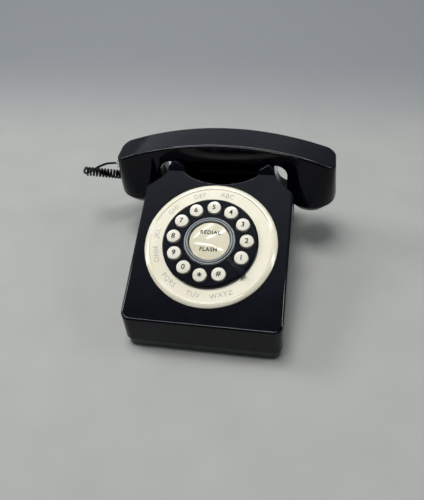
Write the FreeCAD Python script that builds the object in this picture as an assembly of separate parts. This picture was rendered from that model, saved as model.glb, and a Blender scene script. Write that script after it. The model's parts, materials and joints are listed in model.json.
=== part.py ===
import FreeCAD
import Part
import math
import os

Vector = FreeCAD.Vector
Rotation = FreeCAD.Rotation
Placement = FreeCAD.Placement
X_AXIS = Vector(1, 0, 0)
Y_AXIS = Vector(0, 1, 0)
Z_AXIS = Vector(0, 0, 1)

# Desk telephone with a round push-button dial. Millimetres.
# X runs to the right, Y to the back and Z up. The origin is on the table, under the middle of the case.

# Shared: how near an edge must lie to be picked, how far a cut runs past a surface
PICK = 0.01
OVERRUN = 1.0

# Case
CASE_WIDTH = 144.0
CASE_DEPTH = 206.0
CASE_CORNER = 9.0
CASE_DRAFT = 0.6
CASE_WALL = 2.6
CASE_EDGE = 2.6
SEAM_HEIGHT = 7.0
FRONT_HEIGHT = 35.5
CREASE_RUN = 7.04
CREASE_DROP = 3.885
BACK_SHELF = 8.2
BACK_KNEE = 36.0
KNEE_OVER = 4.0

# Cradle on top of the case
NECK_GAP = 11.5
SHOULDER_RUN = 43.5
NECK_RUN = 27.0
SCOOP_ROOM = 6.0
SCOOP_CORNER = 22.0
SCOOP_COVE = 16.0
HORN_WIDTH = 13.5
HORN_PEAK_IN = 5.0
HORN_RISE = 5.2
HORN_EDGE = 0.8
SADDLE_GAP = 0.8
SEAT_GAP = 0.3
POCKET_RIM = 1.0
LIP_GAP = 3.0
LIP_EDGE = 0.8
POCKET_DIP = 10.2
POCKET_DEPTH = 33.0
POCKET_BACK = 14.0
POCKET_CORNER = 10.0
POCKET_COVE = 8.0

# Base tray
TRAY_INSET = 2.0
TRAY_BOTTOM = -3.5
TRAY_FLOOR = 2.5
TRAY_WALL = 3.0
TRAY_LIP = 2.5
TRAY_CLEARANCE = 0.3
FOOT_RADIUS = 6.0
FOOT_STAND = 1.5
FOOT_RECESS = 1.0
FOOT_X = 56.0
FOOT_INSET = 15.0
FOOT_CHAMFER = 0.8
FOOT_CLEARANCE = 0.15
SCREW_X = 61.0
SCREW_INSET = 25.0
SCREW_SHANK = 1.4
SCREW_HEAD = 2.8
SCREW_HEAD_HEIGHT = 1.8
SCREW_LENGTH = 17.0
SCREW_CLEARANCE = 0.1
SLOT_WIDTH = 0.8
SLOT_DEPTH = 0.8
BOSS_RADIUS = 4.2
PAD_HEIGHT = 9.0
PAD_RADIUS = 5.8

# Dial, measured from the plane of the case's sloping face
DIAL_SHARE = 0.50326
RING_RADIUS = 61.0
RING_RIM = 4.5
RING_BORE = 44.0
RING_EDGE = 1.2
RING_BEVEL = 0.9
RING_CREST = 1.2
RING_RAMP = 1.0
RING_HEIGHT = 3.2
RING_DISH = 0.7
RING_SPIGOT = 1.8
PLATE_CLEARANCE = 0.25
PLATE_TOP = 6.6
PLATE_ROOF = 2.3
PLATE_SKIRT = 2.0
PLATE_ROUND = 1.4
PLATE_FLANGE = 4.5
PLATE_FLANGE_THICK = 2.0
DIAL_SCREWS = 4
DIAL_SCREW_SKIN = 0.8
SCREW_END_GAP = 0.2
KEY_CIRCLE = 33.6
KEY_PITCH = 28.8
KEY_FIRST = -25.4
KEY_RADIUS = 6.15
KEY_TOP = 9.4
KEY_CROWN = 0.5
KEY_TRAVEL = 1.6
KEY_CLEARANCE = 0.35
KEY_FLANGE = 1.0
KEY_FLANGE_THICK = 1.2
KEY_HOLLOW = 4.4
KEY_DISH = 1.0
KEY_ROOF = 1.8
KEY_REST = 0.3
KEY_EDGE = 0.6
DOME_RADIUS = 3.6
DOME_TOP = 2.8
DOME_GAP = 0.3
MAT_THICK = 1.0
MAT_RADIUS = 41.0
KEY_BOARD_THICK = 1.6
POST_CIRCLE = 38.6
POST_RADIUS = 2.0
CHROME_BORE = 19.3
CHROME_WALL = 1.2
CHROME_RADIUS = 23.6
CHROME_HEIGHT = 2.0
CHROME_CLEARANCE = 0.1
BEAD_STEP = 0.4
BEAD_RISE = 0.6
BEAD_LIFT = 0.2
DISC_GAP = 0.8
DISC_TOP = 8.0
DISC_THICK = 2.2
DISC_CROWN = 0.7
DISC_EDGE = 0.6
ROCK_ANGLE = 3.0
PIN_RADIUS = 1.0
PIN_HEIGHT = 2.1
PIN_CLEARANCE = 0.05
PIN_END_GAP = 0.1
BEARING_LENGTH = 4.5
BEARING_HALF = 3.0
BEARING_UNDER = 1.8
BEARING_BLIND = 0.5
LUG_OUT = 14.0
LUG_THICK = 3.0
LUG_HALF = 2.2
LUG_UNDER = 1.6
FOOT_OUT = 11.0
ROCKER_DOME = 0.3
ROCKER_DOME_RADIUS = 2.6
ROCKER_FOOT = 2.0
STOP_ANGLE = -41.5
STOP_ROOT = 2.4
STOP_WAIST = 3.2
STOP_TIP = 6.4
STOP_THICK = 1.3
STOP_REACH = 1.7
STOP_GAP = 0.6
STOP_SHOULDER = 4.0
STOP_ROUND = 0.6
STOP_CLEARANCE = 0.1

# Handset
HANDSET_LENGTH = 225.0
CRADLE_INSET = 39.0
HANDSET_TOP = 118.0
ARCH_RADIUS = 290.0
GRIP_WIDTH = 34.0
GRIP_THICK = 21.0
GRIP_EDGE = 2.5
ARCH_BLEND = 12.0
CUP_DIAMETER = 50.0
CUP_HEIGHT = 56.0
CUP_WALL = 4.0
CUP_ROOF = 30.0
CUP_BORE_TOP = 15.0
END_CORNER = 10.0
END_LEAN = 3.5
END_TAPER = 5.0
END_FLAT = 0.5
END_SWELL = 0.8
END_RIDGE = 0.4
CUP_LIP = 1.0
FLARE_ROUND = 8.0
HANDSET_EDGE = 2.6
CAP_HEIGHT = 16.0
CAP_BAND = 7.0
CAP_FACE = 17.5
CAP_WALL = 2.6
CAP_ROUND = 1.5
SPIGOT_HEIGHT = 5.0
SPIGOT_WALL = 2.0
SPIGOT_CLEARANCE = 0.25
CAPSULE_HEIGHT = 14.0
CAPSULE_NECK = 3.0
CAPSULE_STEP = 4.0
CAPSULE_CLEARANCE = 0.25
CAP_HOLE = 1.3
CAP_HOLE_CIRCLE = 8.5
EAR_HOLES = 6
MOUTH_HOLES = 12
MOUTH_INNER_HOLES = 5
CHANNEL_WALL = 4.0
CHANNEL_SHORT = 6.5
WIRE_BORE = 3.0
WEIGHT_LENGTH = 70.0
WEIGHT_HEIGHT = 7.0
WEIGHT_CHAMFER = 0.8
WEIGHT_CLEARANCE = 0.3

# Hook switch
PLUNGER_IN = 7.0
PLUNGER_RADIUS = 3.4
PLUNGER_CLEARANCE = 0.4
PLUNGER_LENGTH = 7.0
PLUNGER_DOWN = 0.2
PLUNGER_EDGE = 1.0
HOOK_TRAVEL = 6.0
YOKE_HEIGHT = 4.8
YOKE_HALF_WIDTH = 4.0
YOKE_PIN = 2.8
YOKE_DROP = 46.7
LEAF_INNER = 14.0
LEAF_LENGTH = 20.0
LEAF_HALF = 5.0
LEAF_HEIGHT = 10.0
LEAF_DROP = 6.0
PILLAR_INSET = 2.0
PILLAR_LENGTH = 10.0
PILLAR_HALF = 4.0
BUTTON_X = 28.0
BUTTON_RADIUS = 2.0
BUTTON_GAP = 0.3
SPRING_RADIUS = 4.6
SPRING_WIRE = 0.9
SPRING_TURNS = 6.25
SPRING_SEAT = 24.0
SPRING_PAD = 6.6
SPRING_GUIDE = 3.2
SPRING_MARGIN = 0.15

# Main board
BOARD_HALF = 52.0
BOARD_GAP = 12.0
BOARD_DEPTH = 40.0
BOARD_HEIGHT = 14.0
BOARD_THICK = 1.6
BOARD_POST = 3.0
BOARD_MARGIN = 4.5
SMALL_SHANK = 0.9
SMALL_HEAD = 1.9
SMALL_HEAD_HEIGHT = 1.2
SMALL_LENGTH = 4.0
CAN_RADIUS = 4.0
CAN_HEIGHT = 12.0
CAN_BACK = 8.0
CAN_OUT = [-36.0, -25.0]
SMALL_CAN_RADIUS = 2.5
SMALL_CAN_HEIGHT = 7.0
SMALL_CAN_BACK = -10.0
SMALL_CAN_OUT = [-34.0, -27.0, -20.0]
RELAY_LENGTH = 20.0
RELAY_WIDTH = 12.0
RELAY_HEIGHT = 10.0
RELAY_BACK = 8.0
CHIP_LENGTH = 14.0
CHIP_WIDTH = 7.0
CHIP_HEIGHT = 2.5
CHIP_BACK = -8.5
CHIP_OUT = [-1.0, 21.0]
HEADER_LENGTH = 18.0
HEADER_WIDTH = 7.0
HEADER_HEIGHT = 8.0
HEADER_BACK = 9.5
HEADER_OUT = 33.0

# Bell ringer
GONG_RADIUS = 27.0
GONG_RISE = 15.0
GONG_WALL = 1.4
GONG_OUT = 31.0
GONG_BACK = -45.0
GONG_RIM = 20.0
GONG_SEAT = 0.2
GONG_POST = 3.0
GONG_SCREW = 5.0
GONG_HEAD_GAP = 0.05
BRACKET_HEIGHT = 10.0
BRACKET_THICK = 2.0
BRACKET_HALF = 46.0
BRACKET_FRONT = -58.0
BRACKET_BACK = 2.0
BRACKET_LEG = 6.0
CLAPPER_BACK = -17.0
CLAPPER_ARM = 29.0
CLAPPER_BALL = 2.4
CLAPPER_BALL_UP = 1.5
CLAPPER_ARM_UP = 9.0
CLAPPER_ARM_WIDTH = 2.4
CLAPPER_ARM_THICK = 1.2
CLAPPER_ARM_END = 1.0
CLAPPER_STEM = 0.8
CLAPPER_HUB = 3.2
CLAPPER_HUB_GAP = 0.1
CLAPPER_PIN = 1.2
CLAPPER_PIN_OVER = 2.0
CLAPPER_CLEARANCE = 0.05
ARMATURE_HALF = 12.0
ARMATURE_THICK = 1.6
ARMATURE_RISE = 4.0
COIL_HEIGHT = 23.0
COIL_BACK = -5.0
COIL_HALF = 15.0
COIL_FLANGE = 8.0
COIL_FLANGE_THICK = 1.5
COIL_WINDING = 6.6
COIL_CORE = 2.5
COIL_CHEEK = 5.0
COIL_CLEARANCE = 0.1

# Ballast
BALLAST_HALF = 50.0
BALLAST_INSET = 8.0
BALLAST_DEPTH = 19.0
BALLAST_HEIGHT = 5.0
BALLAST_CHAMFER = 0.8

# Sockets and switch in the back wall
JACK_HEIGHT = 20.0
CORD_JACK_X = 8.0
LINE_JACK_X = 40.0
JACK_WALL = 1.4
JACK_DEPTH = 13.0
JACK_BLIND = 1.5
JACK_SUNK = 0.1
WALL_GAP = 0.8
SOCKET_LENGTH = 10.0
SOCKET_GAP = 1.0
CORD_PLUG_WIDTH = 7.6
CORD_PLUG_HEIGHT = 6.4
CORD_PLUG_LENGTH = 12.0
CORD_PLUG_OUT = 2.5
PLUG_CHAMFER = 0.6
PLUG_CLEARANCE = 0.15
LINE_MOUTH_WIDTH = 9.8
LINE_MOUTH_HEIGHT = 7.0
SWITCH_X = -30.0
SWITCH_WIDTH = 20.0
SWITCH_HEIGHT = 9.0
SWITCH_DEPTH = 8.0
KNOB_WIDTH = 5.0
KNOB_HEIGHT = 4.0
KNOB_TRAVEL = 5.0
KNOB_SLOT = 4.0
KNOB_ROUND = 0.5
KNOB_CLEARANCE = 0.35
CORD_EXIT_DROP = 37.0

# Curly cord. The lead's points are measured from the handset's plug, and the curl's from the case's back wall
# and the floor.
CORD_WIRE = 2.4
CURL_RADIUS = 4.0
CURL_TURNS = 60.75
LEAD_ROUTE = [(-10.0, 0.0, 0.0), (-21.0, -1.4, -4.2), (-30.5, -3.4, -9.6), (-39.0, -3.8, -13.2)]
LEAD_RUN_IN = 5.0
CURL_ROUTE = [
    (-158.0, -31.0, 67.5),
    (-136.0, -28.0, 64.0),
    (-118.0, -17.0, 54.5),
    (-104.0, 1.0, 41.5),
    (-86.0, 18.0, 27.0),
    (-62.0, 31.0, 14.0),
    (-35.0, 38.5, 6.4),
    (-10.0, 36.0, 6.0),
    (10.0, 24.0, 6.8),
]
TAIL_DROP = 4.55
TAIL_TURN = 13.7
BEND_SHARE = 0.49
NEXT_TURN = 0.6

# Values worked out from the sizes above
draft = math.tan(math.radians(CASE_DRAFT))
back_wall = CASE_DEPTH / 2
handset_y = back_wall - CRADLE_INSET
screw_y = back_wall - SCREW_INSET
board_back = handset_y - BOARD_GAP
board_front = board_back - BOARD_DEPTH
face_front = -CASE_DEPTH / 2 + (FRONT_HEIGHT - SEAM_HEIGHT) * draft
tray_top = TRAY_BOTTOM + TRAY_FLOOR
floor_level = TRAY_BOTTOM - FOOT_STAND
plate_radius = RING_BORE - PLATE_CLEARANCE
plate_under = PLATE_TOP - PLATE_ROOF
key_hole = KEY_RADIUS + KEY_CLEARANCE
disc_radius = CHROME_BORE - DISC_GAP
pin_bearing = CHROME_BORE + CHROME_WALL + CHROME_CLEARANCE
arch_centre = HANDSET_TOP - ARCH_RADIUS
grip_bottom = HANDSET_TOP - GRIP_THICK
cup_seam = HANDSET_TOP - CUP_HEIGHT
cup_ceiling = HANDSET_TOP - CUP_ROOF
cup_out = (HANDSET_LENGTH - CUP_DIAMETER) / 2
cup_inner = HANDSET_LENGTH / 2 - CUP_DIAMETER
channel_half = cup_inner - CHANNEL_SHORT
saddle_front = handset_y - GRIP_WIDTH / 2 - SADDLE_GAP
saddle_back = handset_y + GRIP_WIDTH / 2 + SADDLE_GAP
seat_height = grip_bottom - SEAT_GAP
crease_y = saddle_front - CREASE_RUN
crease_z = seat_height - CREASE_DROP
back_top = saddle_back + BACK_SHELF
slope = math.atan2(crease_z - FRONT_HEIGHT, crease_y - face_front)
face_length = math.hypot(crease_z - FRONT_HEIGHT, crease_y - face_front)
dial_up = DIAL_SHARE * face_length
neck_half = cup_inner - NECK_GAP
horn_inner = neck_half - HORN_WIDTH
horn_peak = neck_half - HORN_PEAK_IN
pocket_half = horn_inner - POCKET_RIM
pocket_floor = grip_bottom - POCKET_DEPTH
scoop_floor = cup_seam - CAP_HEIGHT - SCOOP_ROOM
plunger_out = neck_half - PLUNGER_IN
yoke_rest = seat_height - YOKE_DROP
leaf_top = yoke_rest - LEAF_DROP
foot_y = CASE_DEPTH / 2 - FOOT_INSET
wall_inside = CASE_DEPTH / 2 - CASE_WALL - WALL_GAP


def line(start, end):
    return Part.LineSegment(start, end).toShape()


def arc(start, middle, end):
    return Part.Arc(start, middle, end).toShape()


def box(x0, x1, y0, y1, z0, z1):
    return Part.makeBox(x1 - x0, y1 - y0, z1 - z0, Vector(x0, y0, z0))


def rod(radius, start, end):
    return Part.makeCylinder(radius, (end - start).Length, start, end - start)


def post(radius, x, y, z0, z1):
    return Part.makeCylinder(radius, z1 - z0, Vector(x, y, z0))


def crown_arc(radius, low, high):
    """Arc of a shallow dome, from its rim at (radius, low) to its top at (0, high)."""
    sag = high - low
    bow = (radius ** 2 + sag ** 2) / (2 * sag)
    half = math.asin(radius / bow) / 2
    middle = Vector(bow * math.sin(half), 0, high - bow * (1 - math.cos(half)))
    return arc(Vector(radius, 0, low), middle, Vector(0, 0, high))


def turned(points):
    """Solid turned about the Z axis from (radius, height) points."""
    outline = [Vector(r, 0, z) for r, z in points]
    return Part.Face(Part.makePolygon(outline + outline[:1])).revolve(Vector(), Z_AXIS, 360)


def across(points, half):
    """Prism from (y, z) points, reaching half to each side."""
    outline = [Vector(-half, y, z) for y, z in points]
    return Part.Face(Part.makePolygon(outline + outline[:1])).extrude(Vector(2 * half, 0, 0))


def rounded_rectangle(x0, x1, y0, y1, radius, z):
    """Closed wire of four sides and four corner arcs at height z."""
    skip = radius * (1 - math.sqrt(0.5))
    return Part.Wire([
        line(Vector(x0 + radius, y0, z), Vector(x1 - radius, y0, z)),
        arc(Vector(x1 - radius, y0, z), Vector(x1 - skip, y0 + skip, z), Vector(x1, y0 + radius, z)),
        line(Vector(x1, y0 + radius, z), Vector(x1, y1 - radius, z)),
        arc(Vector(x1, y1 - radius, z), Vector(x1 - skip, y1 - skip, z), Vector(x1 - radius, y1, z)),
        line(Vector(x1 - radius, y1, z), Vector(x0 + radius, y1, z)),
        arc(Vector(x0 + radius, y1, z), Vector(x0 + skip, y1 - skip, z), Vector(x0, y1 - radius, z)),
        line(Vector(x0, y1 - radius, z), Vector(x0, y0 + radius, z)),
        arc(Vector(x0, y0 + radius, z), Vector(x0 + skip, y0 + skip, z), Vector(x0 + radius, y0, z)),
    ])


def case_plan(inset, z):
    half_x = CASE_WIDTH / 2 - inset
    half_y = CASE_DEPTH / 2 - inset
    return rounded_rectangle(-half_x, half_x, -half_y, half_y, CASE_CORNER - min(inset, CASE_CORNER / 2), z)


def plan_block(inset, z0, z1):
    return Part.Face(case_plan(inset, z0)).extrude(Vector(0, 0, z1 - z0))


def joined(shapes):
    solid = shapes[0]
    for other in shapes[1:]:
        solid = solid.fuse(other)
    return solid.removeSplitter()


def face_point(up, out=0.0):
    """Point (y, z) on the sloping face, measured up from its front edge and out along its normal."""
    y = face_front + up * math.cos(slope) - out * math.sin(slope)
    z = FRONT_HEIGHT + up * math.sin(slope) + out * math.cos(slope)
    return y, z


def on_face(shape):
    """Shape drawn about the dial's centre, laid on the sloping face."""
    y, z = face_point(dial_up)
    laid = shape.copy()
    place = Placement(Vector(0, y, z), Rotation(X_AXIS, math.degrees(slope)))
    laid.Placement = place.multiply(laid.Placement)
    return laid


def on_circle(radius, degrees, z=0.0):
    turn = math.radians(degrees)
    return Vector(radius * math.cos(turn), radius * math.sin(turn), z)


# Case

def case_block(inset, bottom):
    """Drafted block under the face, the saddle and the back slope, all drawn in by inset."""
    top = HANDSET_TOP
    shrink = (top - bottom) * draft
    walls = Part.makeLoft([case_plan(inset, bottom), case_plan(inset + shrink, top)], True, True)
    reach = CASE_DEPTH
    outline = [
        face_point(-reach, -inset),
        face_point(face_length, -inset),
        (saddle_front - HORN_RISE + inset, seat_height - inset),
        (back_top - inset, seat_height - inset),
        (back_wall + KNEE_OVER - inset, BACK_KNEE - inset),
        (reach, bottom - reach),
    ]
    return walls.common(across(outline, CASE_WIDTH))


def on_face_plane(edge):
    """True for an edge of the sloping face, apart from its upper edge."""
    for point in [v.Point for v in edge.Vertexes] + [middle_of(edge)]:
        y = point.y - face_front
        z = point.z - FRONT_HEIGHT
        if abs(z * math.cos(slope) - y * math.sin(slope)) > PICK:
            return False
    return edge.CenterOfMass.y < crease_y - PICK


def on_lip(edge):
    """True for an edge where the hand recess breaks through the sloping face."""
    middle = edge.CenterOfMass
    above = middle.y > face_point(dial_up + RING_RADIUS)[0]
    return on_face_plane(edge) and above and abs(middle.x) < pocket_half


def scoop(side, grow):
    """Room beside the neck for one end of the handset."""
    inner = neck_half - grow
    outer = CASE_WIDTH
    lean = (SHOULDER_RUN - NECK_RUN) / (CASE_WIDTH / 2 - neck_half)
    shift = grow * math.hypot(1, lean)

    def front(x):
        return handset_y - NECK_RUN - lean * (x - neck_half) - shift

    floor = scoop_floor - grow
    outline = [(inner, front(inner)), (outer, front(outer)), (outer, CASE_DEPTH), (inner, CASE_DEPTH)]
    points = [Vector(side * x, y, floor) for x, y in outline]
    block = Part.Face(Part.makePolygon(points + points[:1])).extrude(Vector(0, 0, HANDSET_TOP))
    upright = [e for e in block.Edges if e.BoundBox.XLength + e.BoundBox.YLength < PICK
               and abs(abs(e.CenterOfMass.x) - inner) < PICK and e.CenterOfMass.y < handset_y]
    block = block.makeFillet(SCOOP_CORNER + grow, upright)
    low = [e for e in block.Edges if e.BoundBox.ZMax < floor + PICK
           and e.CenterOfMass.y < CASE_DEPTH - OVERRUN and abs(e.CenterOfMass.x) < outer - OVERRUN]
    return block.makeFillet(SCOOP_COVE + grow, low)


def pocket(grow):
    """Hand recess under the handset, open through the top of the face."""
    lip_y = face_point(dial_up + RING_RADIUS + LIP_GAP)[0]
    bow = (pocket_half ** 2 + POCKET_DIP ** 2) / (2 * POCKET_DIP)
    centre = lip_y + bow
    half = pocket_half + grow
    radius = bow + grow
    side_y = centre - math.sqrt(radius ** 2 - half ** 2)
    back = handset_y + POCKET_BACK + grow
    floor = pocket_floor - grow
    outline = Part.Wire([
        arc(Vector(-half, side_y, floor), Vector(0, centre - radius, floor), Vector(half, side_y, floor)),
        line(Vector(half, side_y, floor), Vector(half, back, floor)),
        line(Vector(half, back, floor), Vector(-half, back, floor)),
        line(Vector(-half, back, floor), Vector(-half, side_y, floor)),
    ])
    block = Part.Face(outline).extrude(Vector(0, 0, HANDSET_TOP))
    upright = [e for e in block.Edges if e.BoundBox.XLength + e.BoundBox.YLength < PICK]
    block = block.makeFillet(POCKET_CORNER + grow, upright)
    low = [e for e in block.Edges if e.BoundBox.ZMax < floor + PICK]
    return block.makeFillet(POCKET_COVE + grow, low)


def horn(side, front):
    """Three-sided horn beside the pocket that keeps the grip in the saddle."""
    foot = crease_y if front else 2 * handset_y - crease_y
    inner_y = saddle_front if front else saddle_back
    lean = (saddle_front - HORN_RISE - crease_y) / (seat_height - crease_z)
    peak = seat_height + HORN_RISE
    tip = crease_y + lean * (peak - crease_z)
    tip_y = tip if front else 2 * handset_y - tip
    outline = [(horn_inner, crease_z), (horn_inner, seat_height), (horn_peak, peak),
               (neck_half, seat_height), (neck_half, crease_z)]
    points = [Vector(side * x, 0, z) for x, z in outline]
    wedge = Part.Face(Part.makePolygon(points + points[:1])).extrude(Vector(0, CASE_DEPTH, 0))
    flank = across([(foot, crease_z), (tip_y, peak), (inner_y, peak), (inner_y, crease_z)], CASE_WIDTH)
    solid = wedge.common(flank)
    ridge = [e for e in solid.Edges if e.BoundBox.ZMax > peak - PICK]
    return solid.makeFillet(HORN_EDGE, ridge)


def wall_window(x, width, height, clearance):
    """Opening through the back wall at the height of the sockets."""
    half = width / 2 + clearance
    rise = height / 2 + clearance
    inside = back_wall - 3 * CASE_WALL
    return box(x - half, x + half, inside, CASE_DEPTH, JACK_HEIGHT - rise, JACK_HEIGHT + rise)


def corner_places(x, y):
    return [(i * x, j * y) for i in (-1, 1) for j in (-1, 1)]


def case_shell():
    block = case_block(0.0, SEAM_HEIGHT)
    block = block.makeFillet(CASE_EDGE, [e for e in block.Edges if on_face_plane(e)])
    hollow = case_block(CASE_WALL, SEAM_HEIGHT - CASE_WALL)
    for side in (-1, 1):
        block = block.cut(scoop(side, 0.0))
        hollow = hollow.cut(scoop(side, CASE_WALL))
    block = block.cut(pocket(0.0))
    block = block.makeFillet(LIP_EDGE, [e for e in block.Edges if on_lip(e)])
    hollow = hollow.cut(pocket(CASE_WALL))
    boss_foot = tray_top + PAD_HEIGHT
    bosses = [post(BOSS_RADIUS, x, y, boss_foot, HANDSET_TOP) for x, y in corner_places(SCREW_X, screw_y)]
    shell = joined([block.cut(hollow)] + [boss.common(block) for boss in bosses]
                   + [horn(side, front) for side in (-1, 1) for front in (True, False)])
    return shell.cut(case_openings())


def case_openings():
    """Screw holes, the dial's opening, the plungers' holes and the windows in the back wall."""
    cuts = []
    boss_hole = TRAY_BOTTOM + SCREW_HEAD_HEIGHT + SCREW_LENGTH + OVERRUN
    for x, y in corner_places(SCREW_X, screw_y):
        cuts.append(post(SCREW_SHANK + SCREW_CLEARANCE, x, y, 0, boss_hole))
    opening = Part.makeCylinder(RING_BORE + CASE_WALL, 4 * CASE_WALL, Vector(0, 0, -2 * CASE_WALL))
    cuts.append(on_face(opening))
    plunger_hole = PLUNGER_RADIUS + PLUNGER_CLEARANCE
    under_seat = seat_height - 2 * CASE_WALL
    for side in (-1, 1):
        cuts.append(post(plunger_hole, side * plunger_out, handset_y, under_seat, HANDSET_TOP))
    cuts.append(wall_window(CORD_JACK_X, CORD_PLUG_WIDTH, CORD_PLUG_HEIGHT, JACK_WALL + 2 * PLUG_CLEARANCE))
    cuts.append(wall_window(LINE_JACK_X, LINE_MOUTH_WIDTH, LINE_MOUTH_HEIGHT, JACK_WALL + PLUG_CLEARANCE))
    cuts.append(wall_window(SWITCH_X, KNOB_WIDTH + KNOB_TRAVEL, KNOB_HEIGHT, KNOB_CLEARANCE))
    for centre in dial_screw_places():
        low = centre + Vector(0, 0, -3 * CASE_WALL)
        high = centre + Vector(0, 0, -DIAL_SCREW_SKIN)
        cuts.append(on_face(rod(SMALL_SHANK + SCREW_CLEARANCE, low, high)))
    return cuts


# Base

def base_plate():
    tray = plan_block(TRAY_INSET, TRAY_BOTTOM, SEAM_HEIGHT)
    lip = plan_block(CASE_WALL + TRAY_CLEARANCE, tray_top, SEAM_HEIGHT + TRAY_LIP)
    tray = tray.fuse(lip).cut(plan_block(TRAY_INSET + TRAY_WALL, tray_top, HANDSET_TOP))
    parts = [tray]
    pad_top = tray_top + PAD_HEIGHT
    parts += [post(PAD_RADIUS, x, y, tray_top, pad_top) for x, y in corner_places(SCREW_X, screw_y)]
    parts += [post(BOARD_POST, x, y, tray_top, BOARD_HEIGHT) for x, y in board_corners()]
    parts += [post(SPRING_PAD, 0, handset_y, tray_top, SPRING_SEAT)]
    parts += [post(SPRING_GUIDE, 0, handset_y, tray_top, yoke_rest - HOOK_TRAVEL)]
    solid = joined(parts)
    head_top = TRAY_BOTTOM + SCREW_HEAD_HEIGHT + SCREW_CLEARANCE
    for x, y in corner_places(SCREW_X, screw_y):
        solid = solid.cut(post(SCREW_HEAD + SCREW_CLEARANCE, x, y, floor_level, head_top))
        solid = solid.cut(post(SCREW_SHANK + SCREW_CLEARANCE, x, y, floor_level, HANDSET_TOP))
    for x, y in corner_places(FOOT_X, foot_y):
        solid = solid.cut(post(FOOT_RADIUS + FOOT_CLEARANCE, x, y, floor_level, TRAY_BOTTOM + FOOT_RECESS))
    for x, y in board_corners():
        solid = solid.cut(post(SMALL_SHANK + SCREW_CLEARANCE, x, y, BOARD_HEIGHT - SMALL_LENGTH, HANDSET_TOP))
    return solid


def base_screws():
    screws = []
    neck = TRAY_BOTTOM + SCREW_HEAD_HEIGHT
    half = SLOT_WIDTH / 2
    for x, y in corner_places(SCREW_X, screw_y):
        head = post(SCREW_HEAD, x, y, TRAY_BOTTOM, neck)
        slot = box(x - SCREW_HEAD, x + SCREW_HEAD, y - half, y + half, TRAY_BOTTOM, TRAY_BOTTOM + SLOT_DEPTH)
        shank = post(SCREW_SHANK, x, y, neck, neck + SCREW_LENGTH)
        screws.append(head.cut(slot).fuse(shank).removeSplitter())
    return Part.makeCompound(screws)


def rubber_feet():
    top = FOOT_STAND + FOOT_RECESS
    tread = FOOT_RADIUS - FOOT_CHAMFER
    foot = turned([(0, 0), (tread, 0), (FOOT_RADIUS, FOOT_CHAMFER), (FOOT_RADIUS, top), (0, top)])
    return Part.makeCompound([foot.translated(Vector(x, y, floor_level)) for x, y in corner_places(FOOT_X, foot_y)])


def ballast_plate():
    front = BALLAST_INSET - CASE_DEPTH / 2
    top = tray_top + BALLAST_HEIGHT
    plate = box(-BALLAST_HALF, BALLAST_HALF, front, front + BALLAST_DEPTH, tray_top, top)
    return plate.makeChamfer(BALLAST_CHAMFER, [e for e in plate.Edges if e.BoundBox.ZMin > top - PICK])


# Dial

def dial_ring():
    foot = RING_BORE + CASE_WALL - SCREW_CLEARANCE
    rim = RING_RADIUS - RING_RIM
    return on_face(turned([
        (RING_BORE, -RING_SPIGOT),
        (foot, -RING_SPIGOT),
        (foot, 0),
        (RING_RADIUS, 0),
        (RING_RADIUS, RING_EDGE),
        (RING_RADIUS - RING_BEVEL, RING_EDGE + RING_BEVEL),
        (rim + RING_CREST, RING_HEIGHT),
        (rim, RING_HEIGHT),
        (rim - RING_RAMP, RING_HEIGHT - RING_DISH),
        (RING_BORE, RING_HEIGHT - RING_DISH),
    ]))


def dial_screw_places():
    step = 360.0 / DIAL_SCREWS
    return [on_circle(RING_BORE + CASE_WALL + PLATE_FLANGE / 2, step * (i + 0.5)) for i in range(DIAL_SCREWS)]


def key_angles():
    return [KEY_FIRST + KEY_PITCH * i for i in range(12)]


def post_places():
    return [on_circle(POST_CIRCLE, KEY_FIRST + KEY_PITCH * (i + 0.5)) for i in (0, 3, 6, 9)]


def cross_pin(radius, reach):
    return rod(radius, Vector(-reach, 0, PIN_HEIGHT), Vector(reach, 0, PIN_HEIGHT))


def dial_plate():
    low = -CASE_WALL - PLATE_FLANGE_THICK
    flange = RING_BORE + CASE_WALL + PLATE_FLANGE
    inner = plate_radius - PLATE_SKIRT
    drum = turned([
        (0, plate_under), (inner, plate_under), (inner, low), (flange, low), (flange, -CASE_WALL),
        (plate_radius, -CASE_WALL), (plate_radius, PLATE_TOP - PLATE_ROUND),
        (plate_radius - PLATE_ROUND, PLATE_TOP), (0, PLATE_TOP),
    ])
    drum = drum.cut(Part.makeCylinder(pin_bearing, PLATE_TOP))
    for angle in key_angles():
        centre = on_circle(KEY_CIRCLE, angle)
        drum = drum.cut(Part.makeCylinder(key_hole, PLATE_TOP, centre))
        dish = centre + Vector(0, 0, PLATE_TOP - KEY_DISH)
        drum = drum.cut(Part.makeCone(key_hole, key_hole + KEY_DISH, KEY_DISH, dish))
    end = pin_bearing + BEARING_LENGTH
    blocks = [box(x0, x1, -BEARING_HALF, BEARING_HALF, PIN_HEIGHT - BEARING_UNDER, plate_under)
              for x0, x1 in ((-end, -pin_bearing), (pin_bearing, end))]
    sunk = Vector(0, 0, -MAT_THICK)
    tall = plate_under + MAT_THICK
    posts = [Part.makeCylinder(POST_RADIUS, tall, centre + sunk) for centre in post_places()]
    solid = joined([drum] + blocks + posts)
    bore = end - BEARING_BLIND
    solid = solid.cut(cross_pin(PIN_RADIUS + PIN_CLEARANCE / 2, bore))
    for centre in post_places():
        solid = solid.cut(Part.makeCylinder(SMALL_SHANK + SCREW_CLEARANCE, SMALL_LENGTH, centre + sunk))
    for centre in dial_screw_places():
        solid = solid.cut(rod(SMALL_SHANK + SCREW_CLEARANCE, centre + Vector(0, 0, 2 * low), centre))
    return on_face(solid)


def dial_screws():
    end = -DIAL_SCREW_SKIN - SCREW_END_GAP
    return small_screws(dial_screw_places(), -CASE_WALL - PLATE_FLANGE_THICK, end)


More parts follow.
